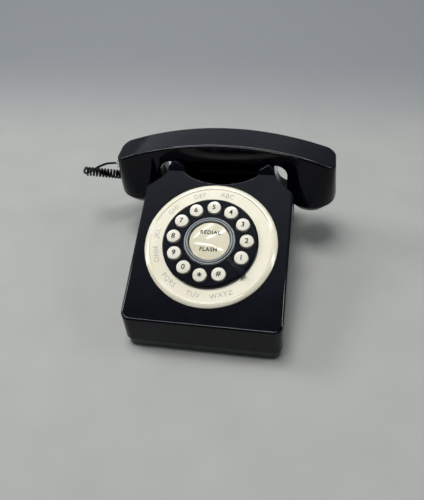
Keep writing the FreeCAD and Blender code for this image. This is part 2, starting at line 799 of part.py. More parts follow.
def small_screws(places, low, end):
    """Screws driven up from behind the dial, their heads against low and their points at end."""
    screws = []
    for centre in places:
        head = rod(SMALL_HEAD, centre + Vector(0, 0, low - SMALL_HEAD_HEIGHT), centre + Vector(0, 0, low))
        shank = rod(SMALL_SHANK, centre + Vector(0, 0, low), centre + Vector(0, 0, end))
        screws.append(on_face(head.fuse(shank).removeSplitter()))
    return Part.makeCompound(screws)


def chrome_ring():
    """Two rolled beads with a groove between them, on a spigot through the dial plate."""
    wall = CHROME_BORE + CHROME_WALL
    middle = (CHROME_BORE + CHROME_RADIUS) / 2
    bead = (CHROME_RADIUS - CHROME_BORE) / 4
    z0 = PLATE_TOP
    z1 = PLATE_TOP + CHROME_HEIGHT / 2

    def at(radius, z):
        return Vector(radius, 0, z)

    outline = Part.Wire([
        line(at(CHROME_BORE, plate_under), at(wall, plate_under)),
        line(at(wall, plate_under), at(wall, z0)),
        line(at(wall, z0), at(CHROME_RADIUS, z0)),
        line(at(CHROME_RADIUS, z0), at(CHROME_RADIUS, z1 - BEAD_STEP)),
        arc(at(CHROME_RADIUS, z1 - BEAD_STEP), at(middle + bead, z1 + BEAD_RISE), at(middle, z1)),
        arc(at(middle, z1), at(middle - bead, z0 + CHROME_HEIGHT), at(CHROME_BORE, z1 + BEAD_LIFT)),
        line(at(CHROME_BORE, z1 + BEAD_LIFT), at(CHROME_BORE, plate_under)),
    ])
    return on_face(Part.Face(outline).revolve(Vector(), Z_AXIS, 360))


def finger_stop():
    """Narrow arm from the chrome ring that widens into a small tab over the edge of the plate."""
    inner = CHROME_RADIUS + STOP_GAP
    waist = plate_radius - STOP_SHOULDER
    outer = plate_radius + STOP_REACH
    top = PLATE_TOP + STOP_THICK
    side = [(inner, STOP_ROOT / 2), (waist, STOP_WAIST / 2), (outer, STOP_TIP / 2)]
    points = [Vector(x, y, PLATE_TOP) for x, y in side]
    points += [Vector(x, -y, PLATE_TOP) for x, y in reversed(side)]
    arm = Part.Face(Part.makePolygon(points + points[:1])).extrude(Vector(0, 0, STOP_THICK))
    arm = arm.makeFillet(STOP_ROUND, [e for e in arm.Edges if e.BoundBox.ZMin > top - PICK])
    half = STOP_TIP / 2 - STOP_ROUND
    foot = RING_HEIGHT - RING_DISH + STOP_CLEARANCE
    hook = box(RING_BORE + STOP_CLEARANCE, outer - STOP_ROUND, -half, half, foot, PLATE_TOP + STOP_THICK / 2)
    solid = joined([arm, hook])
    solid.rotate(Vector(), Z_AXIS, STOP_ANGLE)
    return on_face(solid)


def key(angle):
    """Hollow key with a crowned top and a flange that stops it under the plate."""
    flange_top = plate_under - KEY_REST
    foot = flange_top - KEY_FLANGE_THICK
    crown = KEY_TOP - KEY_CROWN
    roof = crown - KEY_ROOF
    skip = KEY_EDGE * (1 - math.sqrt(0.5))
    rim = KEY_RADIUS - KEY_EDGE

    def at(radius, z):
        return Vector(radius, 0, z)

    wide = key_hole + KEY_FLANGE
    outline = Part.Wire([
        line(at(0, roof), at(KEY_HOLLOW, roof)),
        line(at(KEY_HOLLOW, roof), at(KEY_HOLLOW, foot)),
        line(at(KEY_HOLLOW, foot), at(wide, foot)),
        line(at(wide, foot), at(wide, flange_top)),
        line(at(wide, flange_top), at(KEY_RADIUS, flange_top)),
        line(at(KEY_RADIUS, flange_top), at(KEY_RADIUS, crown - KEY_EDGE)),
        arc(at(KEY_RADIUS, crown - KEY_EDGE), at(KEY_RADIUS - skip, crown - skip), at(rim, crown)),
        crown_arc(rim, crown, KEY_TOP),
        line(at(0, KEY_TOP), at(0, roof)),
    ])
    solid = Part.Face(outline).revolve(Vector(), Z_AXIS, 360)
    solid.translate(on_circle(KEY_CIRCLE, angle))
    return on_face(solid)


def key_mat():
    """Rubber sheet with one dome inside each key and two under the centre button."""
    sheet = Part.makeCylinder(MAT_RADIUS, MAT_THICK, Vector(0, 0, -MAT_THICK))
    height = KEY_TOP - KEY_CROWN - KEY_ROOF - KEY_TRAVEL - DOME_GAP
    centres = [on_circle(KEY_CIRCLE, angle) for angle in key_angles()]
    domes = [Part.makeCone(DOME_RADIUS, DOME_TOP, height, centre) for centre in centres]
    for y in (-FOOT_OUT, FOOT_OUT):
        domes.append(Part.makeCone(ROCKER_DOME_RADIUS, ROCKER_FOOT, ROCKER_DOME, Vector(0, y, 0)))
    solid = joined([sheet] + domes)
    sunk = Vector(0, 0, -MAT_THICK)
    for centre in post_places():
        solid = solid.cut(Part.makeCylinder(POST_RADIUS + SCREW_CLEARANCE, 2 * MAT_THICK, centre + sunk))
    return on_face(solid)


def key_board():
    board = Part.makeCylinder(MAT_RADIUS, KEY_BOARD_THICK, Vector(0, 0, -MAT_THICK - KEY_BOARD_THICK))
    deep = Vector(0, 0, -2 * (MAT_THICK + KEY_BOARD_THICK))
    for centre in post_places():
        board = board.cut(rod(SMALL_SHANK + SCREW_CLEARANCE, centre + deep, centre))
    return on_face(board)


def key_screws():
    low = -MAT_THICK - KEY_BOARD_THICK
    return small_screws(post_places(), low, low + SMALL_LENGTH)


def centre_button():
    """Crowned disc that rocks on a cross pin, with a foot at each end of its swing."""
    edge = DISC_TOP - DISC_CROWN
    low = DISC_TOP - DISC_CROWN - DISC_THICK
    rim = disc_radius - DISC_EDGE
    skip = DISC_EDGE * (1 - math.sqrt(0.5))

    def at(radius, z):
        return Vector(radius, 0, z)

    outline = Part.Wire([
        line(at(0, low), at(rim, low)),
        line(at(rim, low), at(disc_radius, edge - DISC_EDGE)),
        arc(at(disc_radius, edge - DISC_EDGE), at(disc_radius - skip, edge - skip), at(rim, edge)),
        crown_arc(rim, edge, DISC_TOP),
        line(at(0, DISC_TOP), at(0, low)),
    ])
    disc = Part.Face(outline).revolve(Vector(), Z_AXIS, 360)
    under = PIN_HEIGHT - LUG_UNDER
    lugs = [box(x, x + LUG_THICK, -LUG_HALF, LUG_HALF, under, low) for x in (-LUG_OUT, LUG_OUT - LUG_THICK)]
    rest = ROCKER_DOME + DOME_GAP + FOOT_OUT * math.tan(math.radians(ROCK_ANGLE))
    feet = [Part.makeCylinder(ROCKER_FOOT, low - rest, Vector(0, side * FOOT_OUT, rest)) for side in (-1, 1)]
    solid = joined([disc] + lugs + feet)
    return on_face(solid.cut(cross_pin(PIN_RADIUS + PIN_CLEARANCE, LUG_OUT + OVERRUN)))


def rocker_pin():
    return on_face(cross_pin(PIN_RADIUS, pin_bearing + BEARING_LENGTH - BEARING_BLIND - PIN_END_GAP))


# Hook switch

def hook_yoke():
    bar = box(-plunger_out - PLUNGER_RADIUS, plunger_out + PLUNGER_RADIUS, handset_y - YOKE_HALF_WIDTH,
              handset_y + YOKE_HALF_WIDTH, yoke_rest, yoke_rest + YOKE_HEIGHT)
    posts = [post(YOKE_PIN, side * plunger_out, handset_y, yoke_rest, seat_height - PLUNGER_LENGTH)
             for side in (-1, 1)]
    return joined([bar] + posts)


def hook_plungers():
    low = seat_height - PLUNGER_LENGTH
    top = seat_height - PLUNGER_DOWN
    cap = turned([(0, low), (PLUNGER_RADIUS, low), (PLUNGER_RADIUS, top - PLUNGER_EDGE),
                  (PLUNGER_RADIUS - PLUNGER_EDGE, top), (0, top)])
    return Part.makeCompound([cap.translated(Vector(side * plunger_out, handset_y, 0)) for side in (-1, 1)])


def hook_spring():
    low = Vector(0, handset_y, SPRING_SEAT + SPRING_WIRE / 2 + SPRING_MARGIN)
    high = Vector(0, handset_y, yoke_rest - SPRING_WIRE / 2 - SPRING_MARGIN)
    return tube(curls([line(low, high)], SPRING_RADIUS, SPRING_TURNS, X_AXIS, SPRING_WIRE), SPRING_WIRE)


def hook_switch():
    """Stack of contact leaves on a pillar, worked by the yoke."""
    low = leaf_top - LEAF_HEIGHT
    foot = LEAF_INNER + PILLAR_INSET
    pillar = box(foot, foot + PILLAR_LENGTH, handset_y - PILLAR_HALF, handset_y + PILLAR_HALF, tray_top, low)
    outer = LEAF_INNER + LEAF_LENGTH
    body = box(LEAF_INNER, outer, handset_y - LEAF_HALF, handset_y + LEAF_HALF, low, leaf_top)
    button = post(BUTTON_RADIUS, BUTTON_X, handset_y, leaf_top, yoke_rest - BUTTON_GAP)
    return joined([pillar, body, button])


# Main board

def board_corners():
    middle = (board_front + board_back) / 2
    half = (board_back - board_front) / 2 - BOARD_MARGIN
    return [(x, middle + y) for x, y in corner_places(BOARD_HALF - BOARD_MARGIN, half)]


def main_board():
    board = box(-BOARD_HALF, BOARD_HALF, board_front, board_back, BOARD_HEIGHT, BOARD_HEIGHT + BOARD_THICK)
    for x, y in board_corners():
        board = board.cut(post(SMALL_SHANK + SCREW_CLEARANCE, x, y, 0, HANDSET_TOP))
    return board


def board_screws():
    top = BOARD_HEIGHT + BOARD_THICK
    screws = []
    for x, y in board_corners():
        head = post(SMALL_HEAD, x, y, top, top + SMALL_HEAD_HEIGHT)
        screws.append(head.fuse(post(SMALL_SHANK, x, y, top - SMALL_LENGTH, top)).removeSplitter())
    return Part.makeCompound(screws)


def board_parts():
    """Capacitors, a relay, two chips and a connector standing on the board."""
    top = BOARD_HEIGHT + BOARD_THICK
    middle = (board_front + board_back) / 2

    def block(x, back, length, width, height):
        y = middle + back
        return box(x - length / 2, x + length / 2, y - width / 2, y + width / 2, top, top + height)

    parts = [post(CAN_RADIUS, x, middle + CAN_BACK, top, top + CAN_HEIGHT) for x in CAN_OUT]
    for x in SMALL_CAN_OUT:
        parts.append(post(SMALL_CAN_RADIUS, x, middle + SMALL_CAN_BACK, top, top + SMALL_CAN_HEIGHT))
    parts.append(block(0, RELAY_BACK, RELAY_LENGTH, RELAY_WIDTH, RELAY_HEIGHT))
    parts += [block(x, CHIP_BACK, CHIP_LENGTH, CHIP_WIDTH, CHIP_HEIGHT) for x in CHIP_OUT]
    parts.append(block(HEADER_OUT, HEADER_BACK, HEADER_LENGTH, HEADER_WIDTH, HEADER_HEIGHT))
    return Part.makeCompound(parts)


# Bell ringer

def ringer_bracket():
    top = BRACKET_HEIGHT + BRACKET_THICK
    plate = box(-BRACKET_HALF, BRACKET_HALF, BRACKET_FRONT, BRACKET_BACK, BRACKET_HEIGHT, top)
    legs = []
    for x in (-BRACKET_HALF, BRACKET_HALF - BRACKET_THICK):
        for y in (BRACKET_FRONT, BRACKET_BACK - BRACKET_LEG):
            legs.append(box(x, x + BRACKET_THICK, y, y + BRACKET_LEG, tray_top, BRACKET_HEIGHT))
    crown = GONG_RIM + GONG_RISE - GONG_WALL - GONG_SEAT
    posts = [post(GONG_POST, side * GONG_OUT, GONG_BACK, top, crown) for side in (-1, 1)]
    cheeks = []
    for x in (-COIL_HALF - BRACKET_THICK, COIL_HALF):
        cheeks.append(box(x, x + BRACKET_THICK, COIL_BACK - COIL_CHEEK, COIL_BACK + COIL_CHEEK,
                          top, COIL_HEIGHT + COIL_CHEEK))
    solid = joined([plate] + legs + posts + cheeks)
    for side in (-1, 1):
        bore = SCREW_SHANK + SCREW_CLEARANCE
        deep = crown - GONG_SCREW - OVERRUN
        solid = solid.cut(post(bore, side * GONG_OUT, GONG_BACK, deep, crown + OVERRUN))
        end = Vector(side * 2 * COIL_HALF, COIL_BACK, COIL_HEIGHT)
        solid = solid.cut(rod(COIL_CORE + COIL_CLEARANCE, Vector(0, COIL_BACK, COIL_HEIGHT), end))
    return solid.cut(post(CLAPPER_PIN + CLAPPER_CLEARANCE, 0, CLAPPER_BACK, 0, HANDSET_TOP))


def gong(side):
    radius = (GONG_RADIUS ** 2 + GONG_RISE ** 2) / (2 * GONG_RISE)
    centre = Vector(side * GONG_OUT, GONG_BACK, GONG_RIM + GONG_RISE - radius)
    shell = Part.makeSphere(radius, centre).cut(Part.makeSphere(radius - GONG_WALL, centre))
    room = post(GONG_RADIUS + OVERRUN, centre.x, centre.y, GONG_RIM, GONG_RIM + GONG_RISE + OVERRUN)
    shell = shell.common(room)
    return shell.cut(post(SCREW_SHANK + SCREW_CLEARANCE, centre.x, centre.y, 0, HANDSET_TOP))


def gong_screws():
    crown = GONG_RIM + GONG_RISE + GONG_HEAD_GAP
    screws = []
    for side in (-1, 1):
        head = post(SCREW_HEAD, side * GONG_OUT, GONG_BACK, crown, crown + SCREW_HEAD_HEIGHT)
        shank = post(SCREW_SHANK, side * GONG_OUT, GONG_BACK, crown - GONG_WALL - GONG_SCREW, crown)
        screws.append(head.fuse(shank).removeSplitter())
    return Part.makeCompound(screws)


def ringer_coil():
    """Bobbin and winding on an iron core."""
    end = COIL_HALF + BRACKET_THICK
    cheek = COIL_HALF - COIL_FLANGE_THICK
    half = [
        (COIL_WINDING, cheek),
        (COIL_FLANGE, cheek),
        (COIL_FLANGE, COIL_HALF),
        (COIL_CORE, COIL_HALF),
        (COIL_CORE, end),
        (0, end),
    ]
    profile = turned([(r, -z) for r, z in reversed(half)] + half)
    profile.rotate(Vector(), Y_AXIS, 90)
    return profile.translated(Vector(0, COIL_BACK, COIL_HEIGHT))


def clapper():
    """Ball on an arm that swings between the gongs, with its armature beside the coil."""
    ball_y = CLAPPER_BACK - CLAPPER_ARM
    ball_z = GONG_RIM + CLAPPER_BALL_UP
    arm_z = GONG_RIM + CLAPPER_ARM_UP
    half = CLAPPER_ARM_WIDTH / 2
    rise = CLAPPER_ARM_THICK / 2
    hub_foot = BRACKET_HEIGHT + BRACKET_THICK + CLAPPER_HUB_GAP
    hub = post(CLAPPER_HUB, 0, CLAPPER_BACK, hub_foot, arm_z + rise)
    arm = box(-half, half, ball_y - CLAPPER_ARM_END, CLAPPER_BACK, arm_z - rise, arm_z + rise)
    stem = post(CLAPPER_STEM, 0, ball_y, ball_z, arm_z)
    ball = Part.makeSphere(CLAPPER_BALL, Vector(0, ball_y, ball_z))
    armature = box(-ARMATURE_HALF, ARMATURE_HALF, CLAPPER_BACK, CLAPPER_BACK + ARMATURE_THICK,
                   COIL_HEIGHT - ARMATURE_RISE, COIL_HEIGHT + ARMATURE_RISE)
    solid = joined([hub, arm, stem, ball, armature])
    return solid.cut(post(CLAPPER_PIN + CLAPPER_CLEARANCE, 0, CLAPPER_BACK, 0, HANDSET_TOP))


def clapper_pin():
    return post(CLAPPER_PIN, 0, CLAPPER_BACK, BRACKET_HEIGHT, GONG_RIM + CLAPPER_ARM_UP + CLAPPER_PIN_OVER)


# Sockets and switch in the back wall

def standing_body(x, half, back, front, top):
    """Block behind the back wall that stands over the tray's lip on a foot."""
    over = SEAM_HEIGHT + TRAY_LIP + TRAY_CLEARANCE
    short = back_wall - TRAY_INSET - TRAY_WALL - TRAY_CLEARANCE
    upper = box(x - half, x + half, back, front, over, top)
    return joined([upper, box(x - half, x + half, back, short, tray_top, over)])


def wall_jack(x, mouth_width, mouth_height):
    """Moulded socket whose nose fills its window in the back wall."""
    outer = back_wall - (JACK_HEIGHT - SEAM_HEIGHT) * draft - JACK_SUNK
    half = mouth_width / 2 + JACK_WALL
    rise = mouth_height / 2 + JACK_WALL
    nose = box(x - half, x + half, wall_inside, outer, JACK_HEIGHT - rise, JACK_HEIGHT + rise)
    back = outer - JACK_DEPTH - JACK_BLIND
    body = standing_body(x, half + JACK_WALL, back, wall_inside, JACK_HEIGHT + rise + JACK_WALL)
    mouth = box(x - mouth_width / 2, x + mouth_width / 2, outer - JACK_DEPTH, outer + OVERRUN,
                JACK_HEIGHT - mouth_height / 2, JACK_HEIGHT + mouth_height / 2)
    return joined([nose, body]).cut(mouth)


def line_jack():
    return wall_jack(LINE_JACK_X, LINE_MOUTH_WIDTH, LINE_MOUTH_HEIGHT)


def handset_jack():
    return wall_jack(CORD_JACK_X, CORD_PLUG_WIDTH + 2 * PLUG_CLEARANCE, CORD_PLUG_HEIGHT + 2 * PLUG_CLEARANCE)


def cord_plug():
    """Small modular plug, its cable end at the origin and its nose along +X."""
    half = CORD_PLUG_WIDTH / 2
    rise = CORD_PLUG_HEIGHT / 2
    body = box(0, CORD_PLUG_LENGTH, -half, half, -rise, rise)
    return body.makeChamfer(PLUG_CHAMFER, [e for e in body.Edges if e.BoundBox.XLength > OVERRUN])


def base_cord_plug():
    plug = cord_plug()
    plug.rotate(Vector(), Z_AXIS, -90)
    return plug.translated(base_plug_end())


def base_plug_end():
    return Vector(CORD_JACK_X, back_wall + CORD_PLUG_OUT, JACK_HEIGHT)


def handset_cord_plug():
    return cord_plug().translated(handset_plug_end())


def handset_plug_end():
    return Vector(-HANDSET_LENGTH / 2 - CORD_PLUG_OUT, handset_y, HANDSET_TOP - CORD_EXIT_DROP)


def ringer_switch():
    """Block behind the back wall with a slot for the sliding knob."""
    body = standing_body(SWITCH_X, SWITCH_WIDTH / 2, wall_inside - SWITCH_DEPTH, wall_inside,
                         JACK_HEIGHT + SWITCH_HEIGHT / 2)
    half = (KNOB_WIDTH + KNOB_TRAVEL) / 2 + KNOB_CLEARANCE
    rise = KNOB_HEIGHT / 2 + KNOB_CLEARANCE
    slot = box(SWITCH_X - half, SWITCH_X + half, wall_inside - KNOB_SLOT, wall_inside + OVERRUN,
               JACK_HEIGHT - rise, JACK_HEIGHT + rise)
    return body.cut(slot)


def ringer_knob():
    x = SWITCH_X - KNOB_TRAVEL / 2
    knob = box(x - KNOB_WIDTH / 2, x + KNOB_WIDTH / 2, wall_inside - KNOB_SLOT + KNOB_CLEARANCE, back_wall,
               JACK_HEIGHT - KNOB_HEIGHT / 2, JACK_HEIGHT + KNOB_HEIGHT / 2)
    return knob.makeFillet(KNOB_ROUND, [e for e in knob.Edges if e.BoundBox.YMin > back_wall - PICK])


# Handset

def arch_height(x):
    return arch_centre + math.sqrt(ARCH_RADIUS ** 2 - x ** 2)


def handset_plan(half, half_width, corner, z):
    """Grip outline that swells into a rounded block at each end."""
    start = HANDSET_LENGTH / 2 - CUP_DIAMETER
    grip = GRIP_WIDTH / 2
    skip = corner * (1 - math.sqrt(0.5))
    inner_x = start + corner
    rise = half_width - corner
    reach = math.asin(min((grip - rise) / corner, 1.0))
    join_x = inner_x - corner * math.cos(reach)
    mid = (reach + math.pi / 2) / 2
    mid_x = inner_x - corner * math.cos(mid)
    mid_y = rise + corner * math.sin(mid)

    def at(x, y):
        return Vector(x, y, z)

    edges = []
    for sx in (1, -1):
        sides = [
            (arc, [(join_x, -grip), (mid_x, -mid_y), (inner_x, -half_width)]),
            (line, [(inner_x, -half_width), (half - corner, -half_width)]),
            (arc, [(half - corner, -half_width), (half - skip, -half_width + skip), (half, -rise)]),
            (line, [(half, -rise), (half, rise)]),
            (arc, [(half, rise), (half - skip, half_width - skip), (half - corner, half_width)]),
            (line, [(half - corner, half_width), (inner_x, half_width)]),
            (arc, [(inner_x, half_width), (mid_x, mid_y), (join_x, grip)]),
            (line, [(join_x, grip), (-join_x, grip)]),
        ]
        for make, points in sides:
            edges.append(make(*[at(sx * x, sx * y) for x, y in points]))
    return Part.Wire(edges)


def handset_profile(y):
    """Front view: arched top and the arch between the cups."""
    beyond = HANDSET_LENGTH / 2 + END_TAPER
    inner = HANDSET_LENGTH / 2 - CUP_DIAMETER + CUP_LIP
    knee = grip_bottom - ARCH_BLEND
    bend = ARCH_BLEND * (1 - math.sqrt(0.5))

    def at(x, z):
        return Vector(x, y, z)

    edges = [arc(at(-beyond, arch_height(beyond)), at(0, HANDSET_TOP), at(beyond, arch_height(beyond)))]
    for s in (1, -1):
        side = [
            (line, [(beyond, arch_height(beyond)), (beyond, cup_seam)]),
            (line, [(beyond, cup_seam), (inner, cup_seam)]),
            (line, [(inner, cup_seam), (inner, knee)]),
            (arc, [(inner, knee), (inner - bend, grip_bottom - bend), (inner - ARCH_BLEND, grip_bottom)]),
        ]
        for make, points in side:
            edges.append(make(*[at(s * x, z) for x, z in points]))
    edges.append(line(at(inner - ARCH_BLEND, grip_bottom), at(ARCH_BLEND - inner, grip_bottom)))
    return Part.Wire(Part.__sortEdges__(edges))


def middle_of(edge):
    return edge.valueAt((edge.FirstParameter + edge.LastParameter) / 2)


def on_arch(edge):
    """True for an edge of the handset's arched top."""
    points = [v.Point for v in edge.Vertexes] + [middle_of(edge)]
    return all(abs(math.hypot(p.x, p.z - arch_centre) - ARCH_RADIUS) < PICK for p in points)


def handset_body():
    half = HANDSET_LENGTH / 2
    low = handset_plan(half, CUP_DIAMETER / 2, CUP_DIAMETER / 2 - END_FLAT, cup_seam)
    waist = handset_plan(half - END_LEAN, GRIP_WIDTH / 2 + END_SWELL, END_CORNER, grip_bottom)
    high = handset_plan(half - END_TAPER, GRIP_WIDTH / 2 + END_RIDGE, END_CORNER, HANDSET_TOP + END_TAPER)
    swell = Part.makeLoft([low, waist, high], True, False)
    slab = Part.Face(handset_profile(-CUP_DIAMETER)).extrude(Vector(0, 2 * CUP_DIAMETER, 0))
    body = swell.common(slab)
    grip = GRIP_WIDTH / 2
    flare = [e for e in body.Edges if e.BoundBox.ZLength > ARCH_BLEND
             and all(abs(abs(v.Y) - grip) < PICK for v in e.Vertexes)
             and abs(middle_of(e).x) > HANDSET_LENGTH / 2 - CUP_DIAMETER + 2 * CUP_LIP]
    body = body.makeFillet(FLARE_ROUND, flare)
    body = body.makeFillet(HANDSET_EDGE, [e for e in body.Edges if on_arch(e)])
    under = [e for e in body.Edges if e.BoundBox.ZLength < PICK and abs(e.BoundBox.ZMin - grip_bottom) < PICK
             and e.BoundBox.XLength > cup_inner]
    return body.makeFillet(GRIP_EDGE, under)


def handset_channel():
    """Hollow of the grip, walled alike above and below."""
    z0 = grip_bottom + CHANNEL_WALL
    half = GRIP_WIDTH / 2 - CHANNEL_WALL
    side = arch_height(channel_half) - CHANNEL_WALL

    def at(x, z):
        return Vector(x, -half, z)

    outline = Part.Wire([
        line(at(-channel_half, side), at(-channel_half, z0)),
        line(at(-channel_half, z0), at(channel_half, z0)),
        line(at(channel_half, z0), at(channel_half, side)),
        arc(at(channel_half, side), at(0, HANDSET_TOP - CHANNEL_WALL), at(-channel_half, side)),
    ])
    return Part.Face(outline).extrude(Vector(0, 2 * half, 0))


def handset_shell():
    body = handset_body().cut(handset_channel())
    for side in (-1, 1):
        low = Vector(side * (cup_out - 3 * CUP_WALL), 0, cup_ceiling - OVERRUN)
        high = Vector(side * (channel_half - CHANNEL_WALL), 0, grip_bottom + CHANNEL_WALL + 2 * WIRE_BORE)
        body = body.cut(cup_hollow().translated(Vector(side * cup_out, 0, 0)))
        body = body.cut(rod(WIRE_BORE, low, high))
    body = body.translated(Vector(0, handset_y, 0))
    end = handset_plug_end()
    half = CORD_PLUG_WIDTH / 2 + PLUG_CLEARANCE
    rise = CORD_PLUG_HEIGHT / 2 + PLUG_CLEARANCE
    body = body.cut(box(end.x, -cup_out, end.y - half, end.y + half, end.z - rise, end.z + rise))
    return body.cut(socket_block(PLUG_CLEARANCE))


def cup_hollow():
    """Room in a cup: straight round the cap's spigot, then drawn in under the flared sides."""
    bore = CUP_DIAMETER / 2 - CUP_WALL
    straight = cup_seam + SPIGOT_HEIGHT + SPIGOT_CLEARANCE
    return turned([(0, cup_seam - OVERRUN), (bore, cup_seam - OVERRUN), (bore, straight),
                   (CUP_BORE_TOP, cup_ceiling), (0, cup_ceiling)])


def at_cup(shape, side):
    return shape.translated(Vector(side * cup_out, handset_y, cup_seam))


def cap_holes(count, circle):
    deep = -CAP_HEIGHT - OVERRUN
    places = [on_circle(circle, 360.0 * i / count, deep) for i in range(count)]
    return [Part.makeCylinder(CAP_HOLE, CAP_HEIGHT, place) for place in places]


def handset_cap(holes):
    """Screwed cap: straight band, bevel, flat face and a spigot into the cup."""
    rim = CUP_DIAMETER / 2
    spigot = rim - CUP_WALL - SPIGOT_CLEARANCE
    inner = spigot - SPIGOT_WALL
    floor = CAP_WALL - CAP_HEIGHT
    bevel_inner = CAP_FACE - CAP_WALL / 2
    cap = turned([(0, -CAP_HEIGHT), (CAP_FACE, -CAP_HEIGHT), (rim, -CAP_BAND), (rim, 0), (spigot, 0),
                  (spigot, SPIGOT_HEIGHT), (inner, SPIGOT_HEIGHT), (inner, -CAP_BAND - CAP_WALL),
                  (bevel_inner, floor), (0, floor)])
    flat = [e for e in cap.Edges if e.BoundBox.ZLength < PICK and e.BoundBox.XLength > 2 * CAP_FACE - PICK]
    outer = [e for e in flat if any(abs(e.BoundBox.ZMin + z) < PICK for z in (CAP_BAND, CAP_HEIGHT))]
    cap = cap.makeFillet(CAP_ROUND, outer)
    for hole in holes:
        cap = cap.cut(hole)
    return cap


def ear_cap():
    return at_cup(handset_cap(cap_holes(EAR_HOLES, CAP_HOLE_CIRCLE) + cap_holes(1, 0)), 1)


def mouth_cap():
    holes = cap_holes(MOUTH_HOLES, CAP_HOLE_CIRCLE) + cap_holes(MOUTH_INNER_HOLES, CAP_HOLE_CIRCLE / 2)
    return at_cup(handset_cap(holes), -1)


def capsule(side):
    """Round cartridge that stands on the inside of a cap."""
    radius = CUP_DIAMETER / 2 - CUP_WALL - SPIGOT_CLEARANCE - SPIGOT_WALL - CAPSULE_CLEARANCE
    floor = CAP_WALL - CAP_HEIGHT
    foot = CAP_FACE - CAP_WALL / 2 - 2 * CAPSULE_CLEARANCE
    taper = CAP_HEIGHT - CAP_BAND - CAP_WALL + CAPSULE_CLEARANCE
    top = floor + CAPSULE_HEIGHT
    neck = radius - CAPSULE_STEP
    body = turned([(0, floor), (foot, floor), (radius, floor + taper), (radius, top - CAPSULE_NECK),
                   (neck, top - CAPSULE_NECK), (neck, top), (0, top)])
    return at_cup(body, side)


def handset_weight():
    half = GRIP_WIDTH / 2 - CHANNEL_WALL - WEIGHT_CLEARANCE
    floor = grip_bottom + CHANNEL_WALL
    bar = box(-WEIGHT_LENGTH / 2, WEIGHT_LENGTH / 2, handset_y - half, handset_y + half,
              floor, floor + WEIGHT_HEIGHT)
    return bar.makeChamfer(WEIGHT_CHAMFER, bar.Edges)


def socket_block(grow):
    """Block on the inside of the mouth cup's end wall, grown on every side."""
    end = handset_plug_end()
    face = CUP_WALL + SOCKET_GAP - HANDSET_LENGTH / 2
    half = CORD_PLUG_WIDTH / 2 + PLUG_CLEARANCE + JACK_WALL + grow
    rise = CORD_PLUG_HEIGHT / 2 + PLUG_CLEARANCE + JACK_WALL + grow
    return box(face - grow, face + SOCKET_LENGTH + grow, end.y - half, end.y + half, end.z - rise, end.z + rise)


def handset_socket():
    """Socket that takes the cord's plug."""
    end = handset_plug_end()
    half = CORD_PLUG_WIDTH / 2 + PLUG_CLEARANCE
    rise = CORD_PLUG_HEIGHT / 2 + PLUG_CLEARANCE
    nose = end.x + CORD_PLUG_LENGTH + PLUG_CLEARANCE
    return socket_block(0.0).cut(box(end.x, nose, end.y - half, end.y + half, end.z - rise, end.z + rise))


# Curly cord

def route(points):
    """Straight runs joined by tangent arcs, each as large as its two runs allow, with the arcs' radii."""
    edges = []
    radii = []
    last = points[0]
    for before, corner, after in zip(points, points[1:], points[2:]):
        back = before - corner
        ahead = after - corner
        trim = BEND_SHARE * min(back.Length, ahead.Length)
        turn = math.pi - back.getAngle(ahead)
        radius = trim / math.tan(turn / 2)
        back.normalize()
        ahead.normalize()
        towards = back + ahead
        towards.normalize()
        depth = math.hypot(radius, trim) - radius
        entry = corner + back * trim
        leave = corner + ahead * trim
        edges.append(line(last, entry))
        edges.append(arc(entry, corner + towards * depth, leave))
        radii.append(round(radius, 1))
        last = leave
    edges.append(line(last, points[-1]))
    return edges, radii


def along(edges, distance):
    """Point and heading at a distance along a chain of edges."""
    for edge in edges:
        if distance <= edge.Length or edge is edges[-1]:
            place = edge.getParameterByLength(max(min(distance, edge.Length), 0.0))
            return edge.valueAt(place), edge.tangentAt(place)
        distance -= edge.Length


def biarc(start, heading, end, final):
    """Two arcs that leave start along heading and reach end along final."""
    chord = end - start
    both = heading + final
    spread = 2 * (1 - heading.dot(final))
    lean = chord.dot(both)
    reach = (math.sqrt(lean ** 2 + spread * chord.dot(chord)) - lean) / spread
    first = start + heading * reach
    second = end - final * reach
    middle = (first + second) * 0.5
    arcs = []
    for a, corner, b in ((start, first, middle), (middle, second, end)):
        centre = (a + b) * 0.5
        half = (b - a).Length / 2
        rise = (corner - centre).Length
        sag = half * math.tan(math.atan2(rise, half) / 2)
        arcs.append(arc(a, centre + (corner - centre) * (sag / rise), b))
    return arcs


def curls(axis, radius, turns, first, lead):
    """Helix of biarcs, a quarter turn each, round a chain of edges, with straight ends of length lead."""
    length = sum(edge.Length for edge in axis)
    winding = 2 * math.pi * turns / length
    quarters = round(4 * turns)
    step = length / quarters
    places = []
    outward = first
    heading = along(axis, 0)[1]
    for i in range(quarters + 1):
        point, ahead = along(axis, i * step)
        outward = Rotation(heading, ahead).multVec(outward)
        heading = ahead
        side = outward.cross(heading)
        bend = (along(axis, i * step + step / 8)[1] - along(axis, i * step - step / 8)[1]) * (4 / step)
        turn = i * math.pi / 2
        arm = (outward * math.cos(turn) + side * math.sin(turn)) * radius
        swing = (side * math.cos(turn) - outward * math.sin(turn)) * (radius * winding)
        going = heading * (1 - arm.dot(bend)) + swing
        going.normalize()
        places.append((point + arm, going))
    edges = []
    for (a, leaving), (b, arriving) in zip(places, places[1:]):
        edges += biarc(a, leaving, b, arriving)
    start, first_way = places[0]
    end, last_way = places[-1]
    edges.insert(0, line(start - first_way * lead, start))
    edges.append(line(end, end + last_way * lead))
    return edges


def tube(edges, diameter):
    start = edges[0].valueAt(edges[0].FirstParameter)
    heading = edges[0].tangentAt(edges[0].FirstParameter)
    ring = Part.Wire([Part.makeCircle(diameter / 2, start, heading)])
    return Part.Wire(edges).makePipeShell([ring], True, False)


